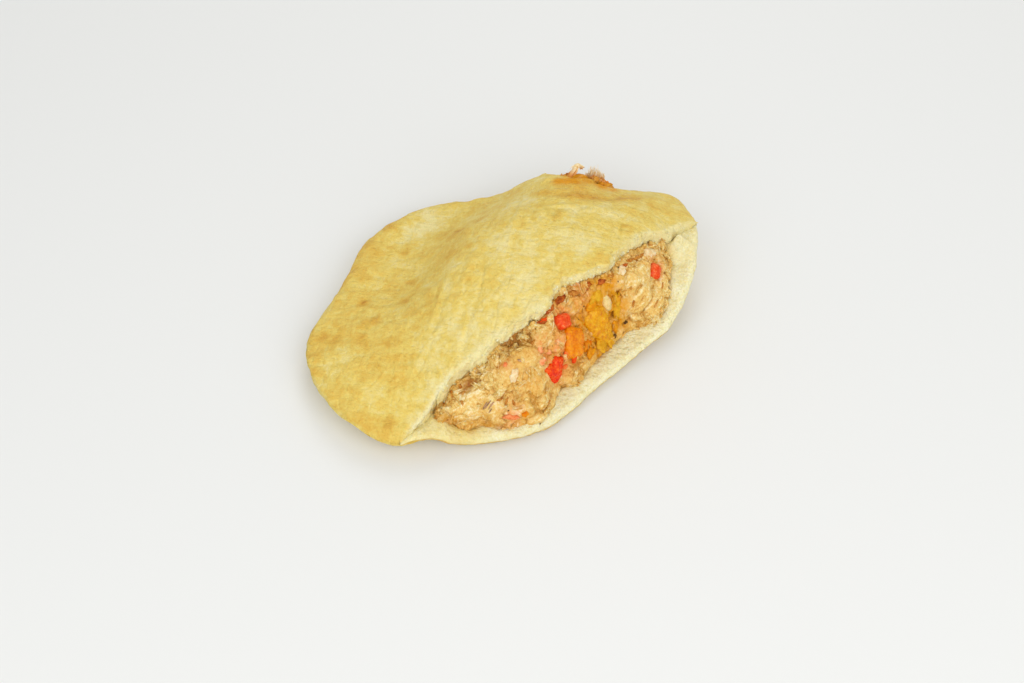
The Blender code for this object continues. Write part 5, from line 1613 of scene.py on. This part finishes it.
class MakeFilling(bpy.types.Operator):
    """Makes the flaked fish with its loose flakes, fibres and specks"""

    bl_idname = "bake.make_filling"
    bl_label = "Filling"

    def execute(self, context):
        look = context.scene.bake_fish
        face = FishFace(look)
        p = face.points
        paint = fish_paint(look)
        marks = {
            "tint": np.clip(face.tint + 0.25 * noise(p, 7.0, 85), 0, 1),
            "grain": face.grain,
            "smooth": face.smooth,
            # Painted shade in the hollows between the flakes
            "deep": np.clip(face.hollow_shade, 0, 1),
            # Painted shade under the top lip and in the pits, with fried brown
            "burnt": self.burnt(face),
            **self.juices(p),
        }
        make_object("fish_filling", p, face.skin.faces, paint, ("saltfish",), marks)
        rng = np.random.default_rng(look.seed + 1)
        self.bundles(face, look, rng, paint)
        self.loose(face, look, rng, paint)
        self.fibres(face, look, rng, paint)
        self.specks(face, look, rng)
        self.bits(face, rng)
        return {"FINISHED"}

    def burnt(self, face):
        """Brown of the fish: painted shade with fried colour in the pits and under the top lip, and
        fried colour along the edge at the left.
        """
        p = face.points
        a, r = polar(p)
        # Painted shade in the pits and under the top lip
        pits = 0.85 * np.clip(face.pit / 2.2, 0, 1) * bump(0.6 + 0.8 * noise(p, 2.5, 81))
        under = bump((1.9 - (r - spline(TOP_LIP, a))) / 1.5) * bump(0.2 + 1.4 * noise(p, 3.4, 82))
        edge = bump((1.5 - (spline(FILLING_EDGE, a) - r)) / 1.0) * in_sector(a, (205, 236), 4)
        edge = edge * bump(0.4 + 1.2 * noise(p, 2.6, 86))
        return np.maximum(np.maximum(pits, 0.9 * under), 0.6 * edge) * (face.show > 0)

    def juices(self, p):
        """Yellow and orange oil round the pepper pieces, and juice round the red ones."""
        a, r = polar(p)
        torn = in_sector(a, TEAR, 2) * (r > TEAR_FACE_RADIUS - 2)
        patches = (bump(0.85 + rough * noise(p, 2.4, k)) for rough, k in ((0.35, 83), (0.6, 84)))
        oil, juice = (
            np.clip(stains(p, table) * patch, 0, 1)
            for table, patch in zip((PEPPER_OIL, RED_JUICE), patches))
        return {"stain": np.maximum(oil, torn), "flush": juice}

    def juice_at(self, point):
        """Oil and juice at one point."""
        return {name: float(value[0]) for name, value in self.juices(point[None]).items()}

    def bundles(self, face, look, rng, paint):
        """Shreds of fish, each a bundle of parallel fibres."""
        heap = Heap(FISH_MARKS)
        t = np.linspace(-0.5, 0.5, 9)[:, None]
        taper = np.array([0.3, 0.75, 0.95, 1, 1, 1, 0.95, 0.7, 0.3])
        for i in face.places(rng, look.bundles, 0.8):
            spot, along, across, out = face.spot(i)
            u, v = turned_axes(along, across, rng.uniform(0, TURN))
            length = rng.uniform(2.6, 6.5)
            count = rng.integers(2, 6)
            wide = rng.uniform(0.35, 0.7)
            bend = rng.uniform(-0.5, 0.5)
            rise = rng.uniform(-0.5, 0.5)
            tint = rng.uniform(0.2, 1.0)
            juice = self.juice_at(spot)
            for k in range(count):
                reach = length * rng.uniform(0.7, 1.0)
                shift = (k - (count - 1) / 2) * wide * 0.72
                path = spot + u * (t * reach + rng.uniform(-0.3, 0.3))
                path = path + v * (shift + bend * (t * 2) ** 2)
                path = path + out * (0.18 + rise * t + 0.1 * rng.uniform(-1, 1))
                widths = wide * rng.uniform(0.85, 1.15) * taper
                points, faces = strand(path, widths, 0.75, 6)
                if face.free(points, rng):
                    own = np.clip(tint + rng.uniform(-0.12, 0.12), 0.1, 0.9)
                    grain, deep = rng.uniform(-1, 1), rng.uniform(0, 0.2)
                    heap.add(points, faces, tint=own, grain=grain, deep=deep, **juice)
        heap.made("fish_shreds", paint, "flaked_fish")

    def loose(self, face, look, rng, paint):
        """Separate flakes on the fish, then thicker ones in the tear."""
        heap = Heap(FISH_MARKS)
        for i in face.places(rng, look.loose, 0.8):
            size = rng.uniform(1.2, 3.8)
            wide, thick = size * rng.uniform(0.35, 0.75), rng.uniform(0.35, 0.8)
            points, faces = worn_slab(rng, size, wide, thick, 9, rng.uniform(-0.3, 0.6))
            turn, tilt = rng.uniform(0, TURN), rng.uniform(-0.5, 0.5)
            points = set_down(points, face.spot(i), turn, 0.1, tilt)
            if face.free(points, rng):
                tint, deep = rng.uniform(0.2, 1.0), rng.uniform(0, 0.2)
                heap.add(points, faces, tint=tint, deep=deep, **self.juice_at(face.points[i]))
        for x, y, z, size in TEAR_FLAKES:
            wide, thick = size * rng.uniform(0.5, 0.8), rng.uniform(1.3, 2.0)
            points, faces = worn_slab(rng, size, wide, thick, 12, 0.2)
            place = [np.array(v) for v in ((x, y, z), *TEAR_AXES)]
            turn, tilt = rng.uniform(0, TURN), rng.uniform(-0.4, 0.4)
            points = set_down(points, place, turn, 0.8, tilt)
            tint, stain, burnt = (rng.uniform(*v) for v in ((0.2, 0.8), (0.6, 1.0), (0, 0.35)))
            heap.add(points, faces, tint=tint, stain=stain, burnt=burnt)
        heap.made("loose_flakes", paint, "flaked_fish")

    def fibres(self, face, look, rng, paint):
        """Single thin strands of fish."""
        heap = Heap(FISH_MARKS)
        t = np.linspace(-0.5, 0.5, 7)[:, None]
        taper = np.array([0.35, 0.8, 1, 1, 0.95, 0.75, 0.3])
        for i in face.places(rng, look.fibres, 0.6):
            spot, along, across, out = face.spot(i)
            u, v = turned_axes(along, across, rng.uniform(0, TURN))
            length, bend, rise = (rng.uniform(*v) for v in ((1.8, 5.5), (-0.9, 0.9), (-0.1, 0.4)))
            path = spot + u * t * length + v * bend * (t * 2) ** 2
            path = path + out * (0.12 + rise * (t * 2) ** 2)
            points, faces = strand(path, rng.uniform(0.22, 0.5) * taper)
            if face.free(points, rng):
                tint, deep = rng.uniform(0.4, 1.0), rng.uniform(0, 0.15)
                heap.add(points, faces, tint=tint, deep=deep, **self.juice_at(spot))
        heap.made("fish_fibres", paint, "flaked_fish")

    def specks(self, face, look, rng):
        """Dark specks of herb."""
        heap = Heap()
        for i in rng.choice(face.pick, look.specks):
            size = rng.uniform(0.3, 0.95)
            points, faces = worn_slab(rng, size, size * rng.uniform(0.4, 0.9), size * 0.35, 6)
            turn, tilt = rng.uniform(0, TURN), rng.uniform(-0.6, 0.6)
            heap.add(set_down(points, face.spot(i), turn, 0.0, tilt), faces)
        dark = bit_paint("herb_specks", (92, 58, 22), (146, 98, 44))
        heap.made("specks", dark, "flaked_fish")

    def bits(self, face, rng):
        """Pieces of skin, seed and pepper laid one by one."""
        for kind, (dark, light, rows) in BITS.items():
            heap = Heap()
            whole = kind == "seed"
            for x, y, length, width, thick, turn in rows:
                worn = 0.15 if whole else 1.0
                points, faces = worn_slab(rng, length, width, thick, 18, 0.1, worn)
                place = face.spot(face.nearest(x, y))
                sink = 0.1 if whole else 0.3 * thick
                heap.add(set_down(points, place, math.radians(turn), sink), faces)
            paint = bit_paint(kind + "_skin", dark, light)
            heap.made(kind + "_bits", paint, "flaked_fish")


class MakePeppers(bpy.types.Operator):
    """Makes the diced pepper pieces from their solids"""

    bl_idname = "bake.make_peppers"
    bl_label = "Pepper"

    def execute(self, context):
        paints = {
            name: pepper_paint(name, bright, dark, pale)
            for name, bright, dark, pale in PEPPER_COLOURS}
        for node, paint, slot in (
            ("red_pepper_front", "red", "red_pepper"),
            ("red_pepper_middle", "soft_red", "red_pepper"),
            ("red_pepper_right", "soft_red", "red_pepper"),
            ("orange_pepper", "orange", "orange_pepper"),
            ("yellow_pepper", "yellow", "yellow_pepper"),
        ):
            self.pepper(node, paints[paint], slot)
        return {"FINISHED"}

    def pepper(self, node, paint, slot):
        """Rounded copy of the solid with uneven, softly wrinkled faces."""
        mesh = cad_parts[node].data.copy()
        b = bmesh.new()
        b.from_mesh(mesh)
        bmesh.ops.remove_doubles(b, verts=b.verts, dist=2e-5)
        bmesh.ops.subdivide_edges(b, edges=b.edges, cuts=3, smooth=0.6, use_grid_fill=True)
        for _ in range(4):
            bmesh.ops.smooth_vert(
                b, verts=b.verts, factor=0.5, use_axis_x=True, use_axis_y=True, use_axis_z=True)
        b.normal_update()
        p = np.array([v.co for v in b.verts]) / MM
        lift = 0.55 * noise(p, 2.4, 91) + 0.16 * noise(p, 1.1, 92) + 0.4
        for v, h in zip(b.verts, lift):
            v.co += v.normal * (h * MM)
        b.to_mesh(mesh)
        b.free()
        mesh.materials.clear()
        mesh.materials.append(paint)
        mesh.shade_smooth()
        made = bpy.data.objects.new(node + "_flesh", mesh)
        bpy.context.scene.collection.objects.link(made)
        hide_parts(node)
        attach(made, "root")


class MakeStrands(bpy.types.Operator):
    """Makes the torn strands and fibres at the back"""

    bl_idname = "bake.make_strands"
    bl_label = "Torn strands"

    def execute(self, context):
        rng = np.random.default_rng(STRAND_SEED)
        heap = Heap(("oiled",))
        for corners, shift, widths in STRANDS:
            self.shred(heap, np.array(corners) + shift, widths)
        leaves = np.array([1, 1, 1, 1, 1, 0.9, 0.8, 0.7, 0.4])
        self.tuft(
            heap, rng, OILY_TUFT, lambda at: 2.8 - 1.6 * max(at - 0.85, 0) / 0.3, leaves, 5,
            lambda: rng.uniform(0.55, 1.0))
        fading = np.repeat(np.linspace(0.3, 0.0, 9), 4)
        self.tuft(
            heap, rng, THIN_TUFT, lambda at: 1.6 + 3.2 * math.exp(-((at - 0.5) / 0.34) ** 2),
            np.linspace(1.5, 0.4, 9), 4, lambda: fading)
        heap.made("torn_strands", strand_paint(), "flaked_fish")
        return {"FINISHED"}

    def shred(self, heap, corners, widths):
        """Wide twisted shred, oily at its foot."""
        count, sides = 20, 10
        path = self.smooth(corners, count)
        path += 0.18 * np.stack([noise(path, 1.3, k) for k in (96, 97, 98)], -1)
        at = np.linspace(0, 1, count)
        widths = np.interp(at, np.linspace(0, 1, len(widths)), widths)
        widths = widths * (1 + 0.12 * noise(path, 1.1, 99))
        points, faces = strand(path, widths, 0.55, sides)
        heap.add(points, faces, oiled=np.repeat(bump((29.0 - path[:, 2]) / 3.5), sides))

    def tuft(self, heap, rng, tuft, height, taper, sides, oil):
        """Bunch of short strands that stand along a line."""
        span, root, run, uneven, share, lean, breadth = tuft
        for _ in range(TUFT_STRANDS):
            at = rng.uniform(*span)
            base = np.array(root) + at * np.array(run) + (0, 0, rng.uniform(*uneven))
            rise = rng.uniform(*share) * height(at)
            tip = base + rise * np.array([rng.uniform(*lean[0]), rng.uniform(*lean[1]), 1.0])
            middle = (base + tip) / 2 + rng.uniform(-0.4, 0.4, 3)
            path = self.smooth(np.array([base, middle, tip]), len(taper))
            points, faces = strand(path, rng.uniform(*breadth) * taper, 0.6, sides)
            heap.add(points, faces, oiled=oil())

    def smooth(self, corners, count):
        """Even points along a smooth curve through the corners."""
        t = np.linspace(0, 1, len(corners))
        fit = [np.polyfit(t, corners[:, k], min(len(corners) - 1, 5)) for k in range(3)]
        s = np.linspace(0, 1, count)
        return np.stack([np.polyval(f, s) for f in fit], -1)


class MakeStage(bpy.types.Operator):
    """Makes the floor, the lights and the camera"""

    bl_idname = "bake.make_stage"
    bl_label = "Stage"

    def execute(self, context):
        look = context.scene.bake_stage
        scene = context.scene
        scene.view_settings.view_transform = "Standard"
        mesh = bpy.data.meshes.new("floor")
        corners = [(x * FLOOR_REACH, y * FLOOR_REACH, 0) for x, y in SQUARE]
        mesh.from_pydata(corners, [], [(0, 1, 2, 3)])
        floor = bpy.data.objects.new("floor", mesh)
        scene.collection.objects.link(floor)
        paint = Paint("pale_floor", Roughness=0.55, Specular_IOR_Level=0.25)
        paint.set("Base Color", linear(look.floor))
        mesh.materials.append(paint.material)
        for name, place, size, tint in LAMPS:
            self.lamp(scene, name + "_light", place, size, getattr(look, name), tint)
        world = bpy.data.worlds.new("studio")
        world.use_nodes = True
        sky = world.node_tree.nodes["Background"]
        sky.inputs["Color"].default_value = SKY
        sky.inputs["Strength"].default_value = look.fill
        scene.world = world
        camera = bpy.data.cameras.new("camera")
        camera.lens = look.lens
        camera.sensor_width = 36.0
        camera.clip_start = 0.01
        holder = bpy.data.objects.new("camera", camera)
        holder.location = CAMERA_PLACE
        holder.rotation_euler = (math.radians(CAMERA_TILT), 0.0, math.radians(CAMERA_TURN))
        scene.collection.objects.link(holder)
        scene.camera = holder
        return {"FINISHED"}

    def lamp(self, scene, name, place, size, energy, tint):
        """Soft square light that faces the middle of the bread."""
        light = bpy.data.lights.new(name, "AREA")
        light.size = size
        light.energy = energy
        light.color = tint
        holder = bpy.data.objects.new(name, light)
        holder.location = place
        aim = Vector(LAMP_AIM) - Vector(place)
        holder.rotation_euler = aim.to_track_quat("-Z", "Y").to_euler()
        scene.collection.objects.link(holder)


STEPS = (MakeBread, MakeFilling, MakePeppers, MakeStrands, MakeStage)


class BakePanel(bpy.types.Panel):
    """Lists the steps that make the filled bread"""

    bl_idname = "VIEW3D_PT_bake"
    bl_label = "Fried bake"
    bl_space_type = "VIEW_3D"
    bl_region_type = "UI"
    bl_category = "Bake"

    def draw(self, context):
        for step in STEPS:
            self.layout.operator(step.bl_idname)
        scene = context.scene
        for look in (scene.bake_bread, scene.bake_fish, scene.bake_stage):
            box = self.layout.box()
            for name in look.__annotations__:
                box.prop(look, name)


CLASSES = (BreadLook, FishLook, StageLook, *STEPS, BakePanel)


def register():
    for kind in CLASSES:
        bpy.utils.register_class(kind)
    bpy.types.Scene.bake_bread = PointerProperty(type=BreadLook)
    bpy.types.Scene.bake_fish = PointerProperty(type=FishLook)
    bpy.types.Scene.bake_stage = PointerProperty(type=StageLook)


def unregister():
    del bpy.types.Scene.bake_stage
    del bpy.types.Scene.bake_fish
    del bpy.types.Scene.bake_bread
    for kind in reversed(CLASSES):
        bpy.utils.unregister_class(kind)


def main():
    register()
    for step in STEPS:
        group, name = step.bl_idname.split(".")
        getattr(getattr(bpy.ops, group), name)()


if __name__ == "__main__":
    main()
